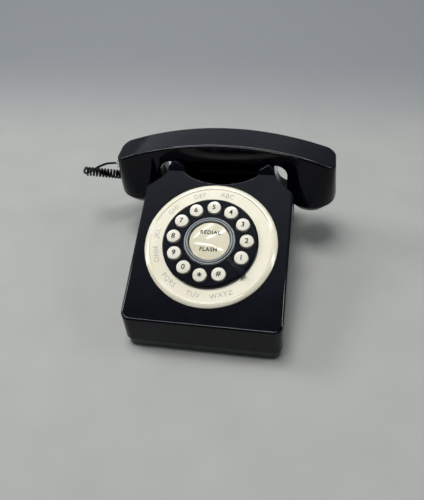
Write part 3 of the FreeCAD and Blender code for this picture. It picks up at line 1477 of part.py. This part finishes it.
def self_gap(edges, diameter, turns):
    """Least clear space between one stretch of a wound tube and the stretches a turn or more away."""
    samples = []
    for edge in edges:
        span = edge.LastParameter - edge.FirstParameter
        for part in (0.25, 0.75):
            point = edge.valueAt(edge.FirstParameter + span * part)
            samples.append((point.x, point.y, point.z))
    skip = round(len(samples) / turns * NEXT_TURN)
    least = min(math.dist(a, b) for i, a in enumerate(samples) for b in samples[i + skip:])
    return least - diameter


def ends_of(edges):
    first = edges[0]
    last = edges[-1]
    return first.valueAt(first.FirstParameter), first.tangentAt(first.FirstParameter), \
        last.valueAt(last.LastParameter), last.tangentAt(last.LastParameter)


def report_tube(name, solid, edges, diameter):
    length = sum(edge.Length for edge in edges)
    section = math.pi * diameter ** 2 / 4
    expected = round(section * length, 1)
    print(name, "length", round(length, 1), "volume", round(solid.Volume, 1), "expected", expected)


def cord_parts():
    back = Vector(0, back_wall, floor_level)
    axis, curl_radii = route([back + Vector(*p) for p in CURL_ROUTE])
    coil = curls(axis, CURL_RADIUS, CURL_TURNS, Z_AXIS, CORD_WIRE)
    start, first_way, end, last_way = ends_of(coil)
    exit = handset_plug_end()
    lead_points = [exit] + [exit + Vector(*p) for p in LEAD_ROUTE] + [start - first_way * LEAD_RUN_IN, start]
    lead, lead_radii = route(lead_points)
    plug = base_plug_end()
    rise = Vector(end.x, end.y, plug.z - TAIL_DROP)
    tail, tail_radii = route([end, rise, plug + Vector(0, TAIL_TURN, 0), plug])
    print("radii of the curl's axis", curl_radii, "lead", lead_radii, "tail", tail_radii)
    print("least gap of the curls", round(self_gap(coil, CORD_WIRE, CURL_TURNS), 2))
    runs = {"handset_cord_lead": lead, "handset_cord_coil": coil, "handset_cord_tail": tail}
    solids = {}
    for name, edges in runs.items():
        solids[name] = tube(edges, CORD_WIRE)
        report_tube(name, solids[name], edges, CORD_WIRE)
    return solids


def key_names():
    return ["key_" + str(n) for n in range(1, 10)] + ["key_0", "key_star", "key_hash"]


def all_parts():
    parts = {
        "case_shell": case_shell(),
        "base_plate": base_plate(),
        "base_screws": base_screws(),
        "rubber_feet": rubber_feet(),
        "ballast_plate": ballast_plate(),
        "dial_ring": dial_ring(),
        "dial_plate": dial_plate(),
        "dial_screws": dial_screws(),
        "chrome_ring": chrome_ring(),
        "finger_stop": finger_stop(),
        "key_mat": key_mat(),
        "key_board": key_board(),
        "key_screws": key_screws(),
        "centre_button": centre_button(),
        "rocker_pin": rocker_pin(),
        "hook_yoke": hook_yoke(),
        "hook_plungers": hook_plungers(),
        "hook_spring": hook_spring(),
        "hook_switch": hook_switch(),
        "main_board": main_board(),
        "board_parts": board_parts(),
        "board_screws": board_screws(),
        "ringer_bracket": ringer_bracket(),
        "gong_left": gong(-1),
        "gong_right": gong(1),
        "gong_screws": gong_screws(),
        "ringer_coil": ringer_coil(),
        "clapper": clapper(),
        "clapper_pin": clapper_pin(),
        "line_jack": line_jack(),
        "handset_jack": handset_jack(),
        "base_cord_plug": base_cord_plug(),
        "ringer_switch": ringer_switch(),
        "ringer_knob": ringer_knob(),
        "handset_shell": handset_shell(),
        "ear_cap": ear_cap(),
        "mouth_cap": mouth_cap(),
        "receiver_capsule": capsule(1),
        "microphone_capsule": capsule(-1),
        "handset_weight": handset_weight(),
        "handset_socket": handset_socket(),
        "handset_cord_plug": handset_cord_plug(),
    }
    for name, angle in zip(key_names(), key_angles()):
        parts[name] = key(angle)
    parts.update(cord_parts())
    return parts


def main():
    """Heights are measured from the case's own zero; here the parts are set to stand on the floor below it."""
    os.makedirs("parts", exist_ok=True)
    for name, shape in all_parts().items():
        shape.translated(Vector(0, 0, -floor_level)).exportStep("parts/" + name + ".step")


main()
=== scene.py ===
"""Looks of a desk telephone with a round push-button dial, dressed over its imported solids."""
import bpy
import json
import math
from mathutils import Matrix, Vector

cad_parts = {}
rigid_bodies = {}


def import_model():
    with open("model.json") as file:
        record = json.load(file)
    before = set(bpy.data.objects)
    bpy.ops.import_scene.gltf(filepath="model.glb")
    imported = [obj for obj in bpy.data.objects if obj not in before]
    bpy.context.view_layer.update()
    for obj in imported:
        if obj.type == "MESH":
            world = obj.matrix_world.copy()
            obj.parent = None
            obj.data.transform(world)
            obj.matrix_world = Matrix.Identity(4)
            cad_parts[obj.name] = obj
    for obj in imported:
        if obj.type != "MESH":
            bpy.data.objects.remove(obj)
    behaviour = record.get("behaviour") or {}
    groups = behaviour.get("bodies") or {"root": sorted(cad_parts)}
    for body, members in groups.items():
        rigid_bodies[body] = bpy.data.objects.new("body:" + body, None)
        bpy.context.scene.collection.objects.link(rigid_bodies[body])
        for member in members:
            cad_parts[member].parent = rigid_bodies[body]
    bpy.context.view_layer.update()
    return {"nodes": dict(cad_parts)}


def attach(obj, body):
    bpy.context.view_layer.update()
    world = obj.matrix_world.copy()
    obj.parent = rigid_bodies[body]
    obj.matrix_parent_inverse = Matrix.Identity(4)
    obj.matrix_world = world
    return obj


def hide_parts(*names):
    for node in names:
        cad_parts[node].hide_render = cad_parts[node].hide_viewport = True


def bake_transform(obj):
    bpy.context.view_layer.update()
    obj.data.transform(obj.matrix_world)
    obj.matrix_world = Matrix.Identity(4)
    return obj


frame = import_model()
nodes = frame["nodes"]
MM = 0.001

# The dial lies on the sloping face, about this point and turned by this slope.
SLOPE = math.radians(22.0)
DIAL_CENTRE = Vector((0.0, -0.031308, 0.069345))
ON_DIAL = Matrix.Translation(DIAL_CENTRE) @ Matrix.Rotation(SLOPE, 4, "X")

# Keys by name, with the sign printed on each, in their order round the dial (angles in degrees).
KEY_SIGNS = {"1": "1", "2": "2", "3": "3", "4": "4", "5": "5", "6": "6", "7": "7", "8": "8", "9": "9", "0": "0",
             "star": "*", "hash": "#"}
KEY_CIRCLE = 33.6 * MM
KEY_FIRST = -25.4
KEY_PITCH = 28.8

# Heights over the face, and radii of the domed tops, of what carries the print.
KEY_TOP = 9.4 * MM
KEY_DOME = 31.05 * MM
BUTTON_TOP = 8.0 * MM
BUTTON_DOME = 229.2 * MM
RING_FLAT = 2.5 * MM

bpy.context.scene.view_settings.view_transform = "Standard"


# Small helpers

def deselect():
    if bpy.context.object and bpy.context.object.mode != "OBJECT":
        bpy.ops.object.mode_set(mode="OBJECT")
    bpy.ops.object.select_all(action="DESELECT")


def pick(piece):
    deselect()
    piece.select_set(True)
    bpy.context.view_layer.objects.active = piece


def place_in_scene(thing):
    bpy.context.scene.collection.objects.link(thing)
    return thing


def finish_piece(piece, body, material):
    piece.data.materials.clear()
    piece.data.materials.append(material)
    if body:
        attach(piece, body)
    return piece


# Materials

PER_METRE = 1000.0            # noise scale of a pattern one millimetre wide
TONE_GRAINS = 9               # the colour's patches are this many grains wide
GLOSS_GRAINS = 5              # and the gloss's this many
TONE_SPAN = (0.35, 0.68)      # part of the noise that the two tones are spread over
GLOSS_SPAN = (0.3, 0.75)
RELIEF_DEPTH = 0.05 * MM


def linear(code):
    """Linear colour from an sRGB hex value."""
    parts = [int(code[i:i + 2], 16) / 255 for i in (1, 3, 5)]
    return tuple(c / 12.92 if c <= 0.04045 else ((c + 0.055) / 1.055) ** 2.4 for c in parts) + (1.0,)


def add(tree, kind, values=None, links=None, **settings):
    """Adds one node with its settings, socket values and incoming links."""
    node = tree.nodes.new(kind)
    for name, value in settings.items():
        setattr(node, name, value)
    for socket, value in (values or {}).items():
        node.inputs[socket].default_value = value
    for socket, source in (links or {}).items():
        tree.links.new(source, node.inputs[socket])
    return node


def surface(name, dark, pale, rough, grain_mm, bump, **constants):
    """Moulded or finished surface: two close tones, uneven gloss and a fine relief, sized in millimetres."""
    material = bpy.data.materials.new(name)
    material.use_nodes = True
    tree = material.node_tree
    shader = tree.nodes["Principled BSDF"]
    place = add(tree, "ShaderNodeTexCoord")
    tone = add(tree, "ShaderNodeTexNoise", {"Scale": PER_METRE / (grain_mm * TONE_GRAINS), "Detail": 4.0},
               {"Vector": place.outputs["Object"]})
    ramp = add(tree, "ShaderNodeValToRGB", None, {"Fac": tone.outputs["Fac"]})
    for stop, position, code in zip(ramp.color_ramp.elements, TONE_SPAN, (dark, pale)):
        stop.position = position
        stop.color = linear(code)
    gloss = add(tree, "ShaderNodeTexNoise", {"Scale": PER_METRE / (grain_mm * GLOSS_GRAINS), "Detail": 5.0},
                {"Vector": place.outputs["Object"]})
    span = add(tree, "ShaderNodeMapRange",
               {"From Min": GLOSS_SPAN[0], "From Max": GLOSS_SPAN[1], "To Min": rough[0], "To Max": rough[1]},
               {"Value": gloss.outputs["Fac"]})
    grain = add(tree, "ShaderNodeTexNoise", {"Scale": PER_METRE / grain_mm, "Detail": 2.0},
                {"Vector": place.outputs["Object"]})
    relief = add(tree, "ShaderNodeBump", {"Strength": bump, "Distance": RELIEF_DEPTH},
                 {"Height": grain.outputs["Fac"]})
    tree.links.new(ramp.outputs["Color"], shader.inputs["Base Color"])
    tree.links.new(span.outputs["Result"], shader.inputs["Roughness"])
    tree.links.new(relief.outputs["Normal"], shader.inputs["Normal"])
    for socket, value in constants.items():
        shader.inputs[socket.replace("_", " ")].default_value = value
    return material


# Injection-moulded ABS, polished: near-black with a cold cast and sharp, slightly wavy reflections.
black_abs = surface("polished_black_abs", "#04050b", "#080a14", (0.06, 0.12), 2.6, 0.05, IOR=1.52,
                    Specular_IOR_Level=0.17)
# The same ABS from a finely etched mould: the tray under the case looks greyer and soft.
tray_abs = surface("etched_black_abs", "#1a1d24", "#232730", (0.34, 0.46), 0.8, 0.25, IOR=1.52)
# Ivory ABS, polished: warm cream, faintly uneven, with a clear gloss.
ivory_abs = surface("polished_ivory_abs", "#e6dfc6", "#eee8d4", (0.14, 0.24), 3.0, 0.05, IOR=1.52)
# The centre button is a slightly deeper cream, buffed to a sharp gloss.
button_abs = surface("buffed_ivory_abs", "#d8d1b6", "#e1dac2", (0.045, 0.07), 3.0, 0.02, IOR=1.52)
# The keys are moulded in a cooler, whiter shade of it.
key_abs = surface("polished_white_abs", "#dcd8c6", "#e5e1d1", (0.12, 0.22), 3.0, 0.05, IOR=1.52)
# Chromium plate over brass or ABS: a neutral mirror with the least haze.
chrome_plate = surface("chromium_plate", "#b9bab8", "#cccdca", (0.08, 0.13), 6.0, 0.01, Metallic=1.0)
# Soft PVC jacket of the curly cord: black, satin, with a skin that never quite shines.
cord_pvc = surface("soft_black_pvc", "#060708", "#0b0d0e", (0.24, 0.36), 0.9, 0.20, IOR=1.53,
                   Specular_IOR_Level=0.25)
# Moulded polycarbonate of the modular plugs: clear, with bright edges.
clear_pc = surface("clear_polycarbonate", "#eef3f2", "#f8fbfa", (0.05, 0.12), 2.0, 0.03, IOR=1.58,
                   Transmission_Weight=0.9)
# Pad-printed inks, thin and matt: dark sepia on the keys and button, pale grey on the ring.
dark_ink = surface("sepia_print_ink", "#120f0e", "#1f1a18", (0.45, 0.60), 0.5, 0.15)
pale_ink = surface("grey_print_ink", "#a29d98", "#b8b3ad", (0.45, 0.60), 0.5, 0.15)
# Natural rubber of the feet and silicone of the key mat: matt, with a dry bloom.
foot_rubber = surface("black_foot_rubber", "#121212", "#1d1c1b", (0.65, 0.80), 0.6, 0.35)
mat_silicone = surface("grey_silicone", "#5d5f62", "#6d6f72", (0.50, 0.62), 0.8, 0.2)
# Zinc-plated steel of screws, pins, spring and bracket: pale grey with a brushed haze.
zinc_steel = surface("zinc_plated_steel", "#a9adb0", "#c2c6c8", (0.25, 0.40), 0.7, 0.15, Metallic=1.0)
# Cast iron of the weights: dull and grainy.
cast_iron = surface("cast_iron", "#343538", "#46484b", (0.55, 0.70), 0.9, 0.5, Metallic=1.0)
# Drawn brass of the bell gongs, polished: yellow and bright.
bell_brass = surface("polished_brass", "#b8923f", "#d0ab58", (0.15, 0.28), 2.0, 0.05, Metallic=1.0)
# Enamelled copper winding: brown-red and lightly glossy.
copper_winding = surface("enamelled_copper_wire", "#6e3216", "#8a4420", (0.25, 0.40), 0.4, 0.5, Metallic=0.6)
# Glass-epoxy circuit board under solder mask: deep green with a fine weave.
circuit_board = surface("green_solder_mask", "#12502b", "#1a6336", (0.30, 0.42), 0.5, 0.2)
# Moulded epoxy casings of the electronic parts: dark and dull. Nylon of the hook yoke: milky, waxy.
part_mould = surface("dark_epoxy_casing", "#1c1d20", "#2b2c30", (0.45, 0.60), 0.5, 0.25)
natural_nylon = surface("natural_nylon", "#d2d0c6", "#dedcd3", (0.40, 0.52), 1.2, 0.1)
# Drawn aluminium of the capsules: pale, with a soft sheen.
drawn_aluminium = surface("drawn_aluminium", "#aeb1b5", "#c4c7ca", (0.28, 0.42), 0.6, 0.2, Metallic=1.0)


# Camera, set to the photograph's view

PHOTO_WIDTH = 424
FOCAL_PIXELS = 507.863
SENSOR_WIDTH = 36.0
CAMERA_PLACE = Vector((0.078168, -0.356802, 0.389363))
CAMERA_RIGHT = Vector((0.98372, 0.16723, -0.06575))
CAMERA_UP = Vector((-0.0712, 0.69872, 0.71185))
CAMERA_BACK = Vector((0.16498, -0.69558, 0.69925))


def set_camera():
    lens = bpy.data.cameras.new("camera")
    lens.sensor_fit = "HORIZONTAL"
    lens.sensor_width = SENSOR_WIDTH
    lens.lens = SENSOR_WIDTH * FOCAL_PIXELS / PHOTO_WIDTH
    lens.clip_start = 0.01
    camera = place_in_scene(bpy.data.objects.new("camera", lens))
    turn = Matrix((CAMERA_RIGHT, CAMERA_UP, CAMERA_BACK)).transposed().to_4x4()
    camera.matrix_world = Matrix.Translation(CAMERA_PLACE) @ turn
    bpy.context.scene.camera = camera


# Curly handset cord: a lead from the handset, the coil, and a tail up to the plug in the base

CORD = 2.4 * MM
CURL_RADIUS = 4.0 * MM
CURL_TURNS = 60.75
TURN_POINTS = 16
CURL_ROUTE = [
    (-0.1580, 0.0720, 0.0675), (-0.1360, 0.0750, 0.0640), (-0.1180, 0.0860, 0.0545),
    (-0.1040, 0.1040, 0.0415), (-0.0860, 0.1210, 0.0270), (-0.0620, 0.1340, 0.0140),
    (-0.0350, 0.1415, 0.0064), (-0.0100, 0.1390, 0.0060), (0.0100, 0.1270, 0.0068),
]
HANDSET_EXIT = (-0.1150, 0.0640, 0.0860)
LEAD_ROUTE = [
    (-0.1250, 0.0640, 0.0860), (-0.1360, 0.0626, 0.0818), (-0.1455, 0.0606, 0.0764), (-0.1540, 0.0602, 0.0728),
]
LEAD_RUN_IN = 5.0 * MM
TAIL_RISE = 0.02045
TAIL_TURN = (0.0080, 0.1192, 0.0250)
BASE_PLUG = (0.0080, 0.1055, 0.0250)


def spline_of(line, kind, points):
    spline = line.splines.new(kind)
    spline.points.add(len(points) - 1)
    for knot, point in zip(spline.points, points):
        knot.co = (*point, 1.0)
    return spline


def smooth_line(name, route):
    """Points along a NURBS line with the route's points as its control points."""
    line = bpy.data.curves.new(name, "CURVE")
    line.dimensions = "3D"
    line.resolution_u = 16
    spline = spline_of(line, "NURBS", route)
    spline.order_u = 3
    spline.use_endpoint_u = True
    holder = place_in_scene(bpy.data.objects.new(name, line))
    bpy.context.view_layer.update()
    mesh = bpy.data.meshes.new_from_object(holder)
    points = [v.co.copy() for v in mesh.vertices]
    bpy.data.objects.remove(holder)
    bpy.data.meshes.remove(mesh)
    return points


def walk(points, count):
    """Evenly spaced (point, heading) pairs along a line of points."""
    steps = [(b - a).length for a, b in zip(points, points[1:])]
    spacing = sum(steps) / count
    places = []
    i = 0
    gone = 0.0
    for n in range(count + 1):
        target = min(n * spacing, sum(steps))
        while i < len(steps) - 1 and gone + steps[i] < target:
            gone += steps[i]
            i += 1
        heading = (points[i + 1] - points[i]).normalized()
        places.append((points[i] + heading * (target - gone), heading))
    return places


def wind(points, radius, turns, first):
    """Helix round a line of points, starting on the side that first points to."""
    count = round(turns * TURN_POINTS)
    helix = []
    outward = first
    for n, (point, heading) in enumerate(walk(points, count)):
        outward = (outward - heading * outward.dot(heading)).normalized()
        side = outward.cross(heading)
        turn = 2 * math.pi * turns * n / count
        helix.append(point + (outward * math.cos(turn) + side * math.sin(turn)) * radius)
    return helix


def curly_cord():
    helix = wind(smooth_line("curl_route", CURL_ROUTE), CURL_RADIUS, CURL_TURNS, Vector((0, 0, 1)))
    start, end = helix[0], helix[-1]
    run_in = (helix[1] - start).normalized() * LEAD_RUN_IN
    lead = smooth_line("lead_route", [HANDSET_EXIT] + LEAD_ROUTE + [tuple(start - run_in), tuple(start)])
    tail = smooth_line("tail_route", [tuple(end), (end.x, end.y, TAIL_RISE), TAIL_TURN, BASE_PLUG])
    path = lead + helix[1:] + tail[1:]
    line = bpy.data.curves.new("handset_cord", "CURVE")
    line.dimensions = "3D"
    line.bevel_depth = CORD / 2
    line.bevel_resolution = 3
    line.use_fill_caps = True
    spline_of(line, "POLY", path)
    pick(place_in_scene(bpy.data.objects.new("handset_cord", line)))
    bpy.ops.object.convert(target="MESH")
    cord = bpy.context.object
    bpy.ops.object.shade_smooth()
    finish_piece(cord, None, cord_pvc)
    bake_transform(cord)
    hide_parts("handset_cord_lead", "handset_cord_coil", "handset_cord_tail")


# Smooth skins over the moulded solids

MERGE_WITHIN = 0.002 * MM
SOFT_ANGLE = 32
RING_SOFT_ANGLE = 25
FACE_WEIGHT = 80


def skin(node, body, material, angle=SOFT_ANGLE):
    """Merged copy of a solid's mesh, smooth across rounds and crisp at edges; it stands for the solid."""
    piece = place_in_scene(bpy.data.objects.new(node + "_skin", nodes[node].data.copy()))
    pick(piece)
    bpy.ops.object.mode_set(mode="EDIT")
    bpy.ops.mesh.select_all(action="SELECT")
    bpy.ops.mesh.remove_doubles(threshold=MERGE_WITHIN)
    bpy.ops.object.mode_set(mode="OBJECT")
    if piece.data.has_custom_normals:
        bpy.ops.mesh.customdata_custom_splitnormals_clear()
    bpy.ops.object.shade_smooth_by_angle(angle=math.radians(angle))
    weigh = piece.modifiers.new("even_normals", "WEIGHTED_NORMAL")
    weigh.keep_sharp = True
    weigh.weight = FACE_WEIGHT
    bpy.ops.object.modifier_apply(modifier=weigh.name)
    finish_piece(piece, body, material)
    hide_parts(node)
    return piece


def dress_mouldings():
    for name in ("case_shell", "dial_plate", "finger_stop"):
        skin(name, "base", black_abs)
    for name in ("handset_shell", "ear_cap", "mouth_cap"):
        skin(name, "handset", black_abs)
    skin("base_plate", "base", tray_abs)
    skin("dial_ring", "base", ivory_abs, RING_SOFT_ANGLE)
    skin("chrome_ring", "base", chrome_plate)
    skin("centre_button", "rocker", button_abs)
    for name in KEY_SIGNS:
        skin("key_" + name, "key_" + name, key_abs)


# Materials of the solids that stay

def dress_solids():
    finishes = {
        zinc_steel: ["base_screws", "dial_screws", "key_screws", "rocker_pin", "hook_spring", "board_screws",
                     "ringer_bracket", "gong_screws", "clapper", "clapper_pin"],
        cast_iron: ["ballast_plate", "handset_weight"],
        bell_brass: ["gong_left", "gong_right"],
        copper_winding: ["ringer_coil"],
        circuit_board: ["main_board", "key_board"],
        part_mould: ["board_parts", "hook_switch"],
        natural_nylon: ["hook_yoke"],
        drawn_aluminium: ["receiver_capsule", "microphone_capsule"],
        mat_silicone: ["key_mat"],
        foot_rubber: ["rubber_feet"],
        tray_abs: ["handset_socket", "line_jack", "handset_jack", "ringer_switch", "ringer_knob"],
        black_abs: ["hook_plungers"],
        clear_pc: ["base_cord_plug", "handset_cord_plug"],
    }
    for material, names in finishes.items():
        for name in names:
            nodes[name].data.materials.clear()
            nodes[name].data.materials.append(material)


# Lettering

INK = 0.05 * MM               # half the ink's thickness
INK_CUTS = 3                  # cuts that let a stroke follow a dome
DIGIT_SIZE = 6.8 * MM
STAR_SIZE = 9.5 * MM          # the star is small for its type size
DIGIT_BOLD = 0.17 * MM
WORD_SIZE = 5.2 * MM
WORD_SPREAD = 1.15
WORD_BOLD = 0.16 * MM
BUTTON_WORDS = {"REDIAL": 8.4 * MM, "FLASH": -8.4 * MM}
RING_SIZE = 6.4 * MM
RING_SPREAD = 1.12
RING_LETTERS = 50.4 * MM
RING_GROUPS = {"ABC": 78.5, "DEF": 108.4, "GHI": 141.2, "JKL": 173.0, "MNO": 197.0, "PQRS": 229.8, "TUV": 260.1,
               "WXYZ": 288.4}


def lettering(name, words, size, turn, at, height, body, material, spread=1.0, bold=0.0):
    """Printed words as a thin mesh laid on the dial; height(x, y) is the surface that carries them."""
    deselect()
    bpy.ops.object.text_add()
    piece = bpy.context.object
    piece.name = name
    piece.data.body = words
    piece.data.size = size
    piece.data.space_character = spread
    piece.data.align_x = "CENTER"
    piece.data.align_y = "CENTER"
    piece.data.extrude = INK
    piece.data.offset = bold
    bpy.ops.object.convert(target="MESH")
    piece = bpy.context.object
    bpy.ops.object.mode_set(mode="EDIT")
    bpy.ops.mesh.select_all(action="SELECT")
    bpy.ops.mesh.quads_convert_to_tris()
    bpy.ops.mesh.subdivide(number_cuts=INK_CUTS)
    bpy.ops.object.mode_set(mode="OBJECT")
    xs = [v.co.x for v in piece.data.vertices]
    ys = [v.co.y for v in piece.data.vertices]
    middle = Vector(((min(xs) + max(xs)) / 2, (min(ys) + max(ys)) / 2, 0))
    place = Matrix.Translation(at) @ Matrix.Rotation(turn, 4, "Z") @ Matrix.Translation(-middle)
    piece.data.transform(place)
    for vertex in piece.data.vertices:
        vertex.co.z += height(vertex.co.x, vertex.co.y)
    piece.data.transform(ON_DIAL)
    return finish_piece(piece, body, material)


def on_dial(radius, degrees):
    turn = math.radians(degrees)
    return Vector((radius * math.cos(turn), radius * math.sin(turn), 0))


def key_digits():
    for i, (name, sign) in enumerate(KEY_SIGNS.items()):
        centre = on_dial(KEY_CIRCLE, KEY_FIRST + KEY_PITCH * i)

        def dome(x, y, c=centre):
            return KEY_TOP - ((x - c.x) ** 2 + (y - c.y) ** 2) / (2 * KEY_DOME)

        lettering("digit_" + name, sign, STAR_SIZE if sign == "*" else DIGIT_SIZE, 0.0, centre, dome,
                  "key_" + name, dark_ink, bold=DIGIT_BOLD)


def ring_letters():
    """Letter groups round the ring: those above its middle stand outwards, those below stand inwards."""
    for words, degrees in RING_GROUPS.items():
        turn = math.radians(degrees - 90 if degrees < 180 else degrees + 90)
        lettering("letters_" + words, words, RING_SIZE, turn, on_dial(RING_LETTERS, degrees),
                  lambda x, y: RING_FLAT, "base", pale_ink, RING_SPREAD)


def button_words():
    def dome(x, y):
        return BUTTON_TOP - (x ** 2 + y ** 2) / (2 * BUTTON_DOME)

    for words, up in BUTTON_WORDS.items():
        lettering("word_" + words.lower(), words, WORD_SIZE, 0.0, Vector((0, up, 0)), dome, "rocker", dark_ink,
                  WORD_SPREAD, WORD_BOLD)


# Studio: a paper sweep, a room that is mostly seen in reflections, three soft lamps and bars for the glints

FLOOR_SIZE = 4.0
SWEEP_START = 0.34
SWEEP_RADIUS = 0.60
SWEEP_TURN = math.radians(70)
SWEEP_STEPS = 24
# painted shade on the sweep: over this span of depth the paper's colour darkens to the cooler grey below
PAPER_SHADE_SPAN = (0.22, 0.50)
PAPER_SHADED_GREY = "#94979a"
ROOM_COLOUR = "#e6f0fa"
ROOM_LIGHT = 0.17
LAMP_TARGET = (0.0, 0.05, 0.03)
SOFT_LAMPS = [                # name, place, size, watts
    ("ceiling_lamp", (-0.12, -0.02, 1.30), (0.6, 0.45), 11.0),
    ("left_lamp", (-0.95, 0.15, 0.95), (0.4, 0.4), 4.6),
    ("right_lamp", (0.95, 0.10, 0.75), (0.35, 0.35), 2.2),
]
GLINT_TARGET = (0.0, 0.0, 0.08)
STRIP_LEVEL = 36.0
STRIPS = [                    # name, place, size
    ("rear_strip", (0.0, 0.62, 1.40), (1.6, 0.20)),
    ("left_strip", (-1.1, -0.1, 0.9), (0.07, 1.2)),
    ("right_strip", (1.1, -0.1, 0.9), (0.07, 1.2)),
    ("front_strip", (-0.25, -0.62, 1.15), (1.5, 0.10)),
]
PANEL_LEVEL = 0.12
PANEL_PLACE = (-0.35, 0.20, 1.30)
PANEL_SIZE = (1.1, 0.9)
BAR_HEIGHT = 1.6
BAR_WIDTH = 0.018
BAR_LEVEL = 26.0
BARS = [                      # name, start, end
    ("bar_a", (-0.516, 0.083), (-0.263, 0.309)),
    ("bar_b", (-0.307, 0.062), (-0.026, 0.212)),
    ("bar_c", (-0.489, -0.024), (-0.239, -0.057)),
    ("bar_d", (-0.239, -0.057), (-0.039, -0.139)),
]


def studio_paper():
    """Seamless paper: pale where the object stands, with painted shade falling to a cooler grey up the sweep.
    """
    paper = surface("grey_seamless_paper", "#b0b1ad", "#b4b5b1", (0.75, 0.85), 6.0, 0.05)
    tree = paper.node_tree
    shader = tree.nodes["Principled BSDF"]
    near = shader.inputs["Base Color"].links[0].from_socket
    place = add(tree, "ShaderNodeTexCoord")
    split = add(tree, "ShaderNodeSeparateXYZ", None, {"Vector": place.outputs["Object"]})
    shade_ramp = add(tree, "ShaderNodeMapRange",
               {"From Min": PAPER_SHADE_SPAN[0], "From Max": PAPER_SHADE_SPAN[1], "To Min": 0.0, "To Max": 1.0},
               {"Value": split.outputs["Y"]}, interpolation_type="SMOOTHSTEP")
    # painted shade: the paper's colour darkens towards the back and up the sweep
    tone = add(tree, "ShaderNodeMix", {"B": linear(PAPER_SHADED_GREY)}, {"Factor": shade_ramp.outputs["Result"], "A": near},
               data_type="RGBA")
    tree.links.new(tone.outputs["Result"], shader.inputs["Base Color"])
    return paper


def paper_sweep():
    deselect()
    bpy.ops.mesh.primitive_plane_add(size=FLOOR_SIZE, location=(0, SWEEP_START - FLOOR_SIZE / 2, 0))
    floor = bpy.context.object
    floor.name = "studio_sweep"
    bpy.ops.object.transform_apply(location=True, rotation=True, scale=True)
    bpy.ops.object.mode_set(mode="EDIT")
    bpy.ops.mesh.select_all(action="DESELECT")
    bpy.ops.object.mode_set(mode="OBJECT")
    for edge in floor.data.edges:
        edge.select = all(floor.data.vertices[v].co.y > 0 for v in edge.vertices)
    bpy.ops.object.mode_set(mode="EDIT")
    bpy.ops.mesh.select_mode(type="EDGE")
    bpy.ops.mesh.spin(steps=SWEEP_STEPS, angle=-SWEEP_TURN, center=(0, SWEEP_START, SWEEP_RADIUS),
                      axis=(1, 0, 0))
    bpy.ops.object.mode_set(mode="OBJECT")
    bpy.ops.object.shade_smooth()
    floor.data.materials.append(studio_paper())


def room():
    """Even soft light on surfaces; in reflections a room that is brightest overhead, to the rear and left."""
    world = bpy.data.worlds.new("studio")
    world.use_nodes = True
    bpy.context.scene.world = world
    tree = world.node_tree
    light = tree.nodes["Background"]
    place = add(tree, "ShaderNodeTexCoord")
    split = add(tree, "ShaderNodeSeparateXYZ", None, {"Vector": place.outputs["Generated"]})
    high = add(tree, "ShaderNodeMapRange",
               {"From Min": 0.60, "From Max": 0.95, "To Min": 0.78, "To Max": 1.30},
               {"Value": split.outputs["Z"]})
    rear = add(tree, "ShaderNodeMapRange",
               {"From Min": -0.2, "From Max": 0.2, "To Min": 0.12, "To Max": 1.0},
               {"Value": split.outputs["Y"]}, interpolation_type="SMOOTHSTEP")
    left = add(tree, "ShaderNodeMapRange",
               {"From Min": 0.05, "From Max": 0.5, "To Min": 1.0, "To Max": 0.3},
               {"Value": split.outputs["X"]}, interpolation_type="SMOOTHSTEP")
    high_rear = add(tree, "ShaderNodeMath", None, {0: high.outputs["Result"], 1: rear.outputs["Result"]},
                    operation="MULTIPLY")
    mirrored = add(tree, "ShaderNodeMath", None, {0: high_rear.outputs["Value"], 1: left.outputs["Result"]},
                   operation="MULTIPLY")
    ray = add(tree, "ShaderNodeLightPath")
    level = add(tree, "ShaderNodeMix", {"A": ROOM_LIGHT},
                {"Factor": ray.outputs["Is Glossy Ray"], "B": mirrored.outputs["Value"]})
    tree.links.new(level.outputs["Result"], light.inputs["Strength"])
    light.inputs["Color"].default_value = linear(ROOM_COLOUR)


def lamp(name, place, target, size, power):
    light = bpy.data.lights.new(name, "AREA")
    light.shape = "RECTANGLE"
    light.size = size[0]
    light.size_y = size[1]
    light.energy = power
    holder = place_in_scene(bpy.data.objects.new(name, light))
    holder.location = place
    holder.rotation_euler = (Vector(target) - Vector(place)).to_track_quat("-Z", "Y").to_euler()
    return holder


def glint(name, place, target, size, level, seen_by):
    """Lamp that shows only as a reflection, and only in the pieces of one collection."""
    holder = lamp(name, place, target, size, level * math.pi * size[0] * size[1])
    holder.visible_diffuse = False
    holder.light_linking.receiver_collection = seen_by
    return holder


def collect(name, pieces):
    group = bpy.data.collections.new(name)
    for piece in pieces:
        group.objects.link(piece)
    return group


def studio():
    paper_sweep()
    room()
    for name, place, size, power in SOFT_LAMPS:
        lamp(name, place, LAMP_TARGET, size, power).visible_glossy = False
    chrome = bpy.data.objects["chrome_ring_skin"]
    skins = [piece for piece in bpy.data.objects if piece.name.endswith("_skin")]
    mouldings = collect("mouldings", [piece for piece in skins if piece != chrome])
    for name, place, size in STRIPS:
        glint(name, place, GLINT_TARGET, size, STRIP_LEVEL, mouldings)
    glint("ring_panel", PANEL_PLACE, GLINT_TARGET, PANEL_SIZE, PANEL_LEVEL, collect("plated", [chrome]))
    ceiling_bars(collect("button_only", [bpy.data.objects["centre_button_skin"]]))


def ceiling_bars(button):
    """Four bright bars overhead, seen only as three streaks in the gloss of the centre button."""
    for name, start, end in BARS:
        a = Vector((*start, BAR_HEIGHT))
        b = Vector((*end, BAR_HEIGHT))
        middle = (a + b) / 2
        bar = glint(name, middle, middle - Vector((0, 0, 1)), ((b - a).length, BAR_WIDTH), BAR_LEVEL, button)
        bar.rotation_euler = (0, 0, math.atan2(b.y - a.y, b.x - a.x))


set_camera()
curly_cord()
dress_solids()
dress_mouldings()
key_digits()
ring_letters()
button_words()
studio()
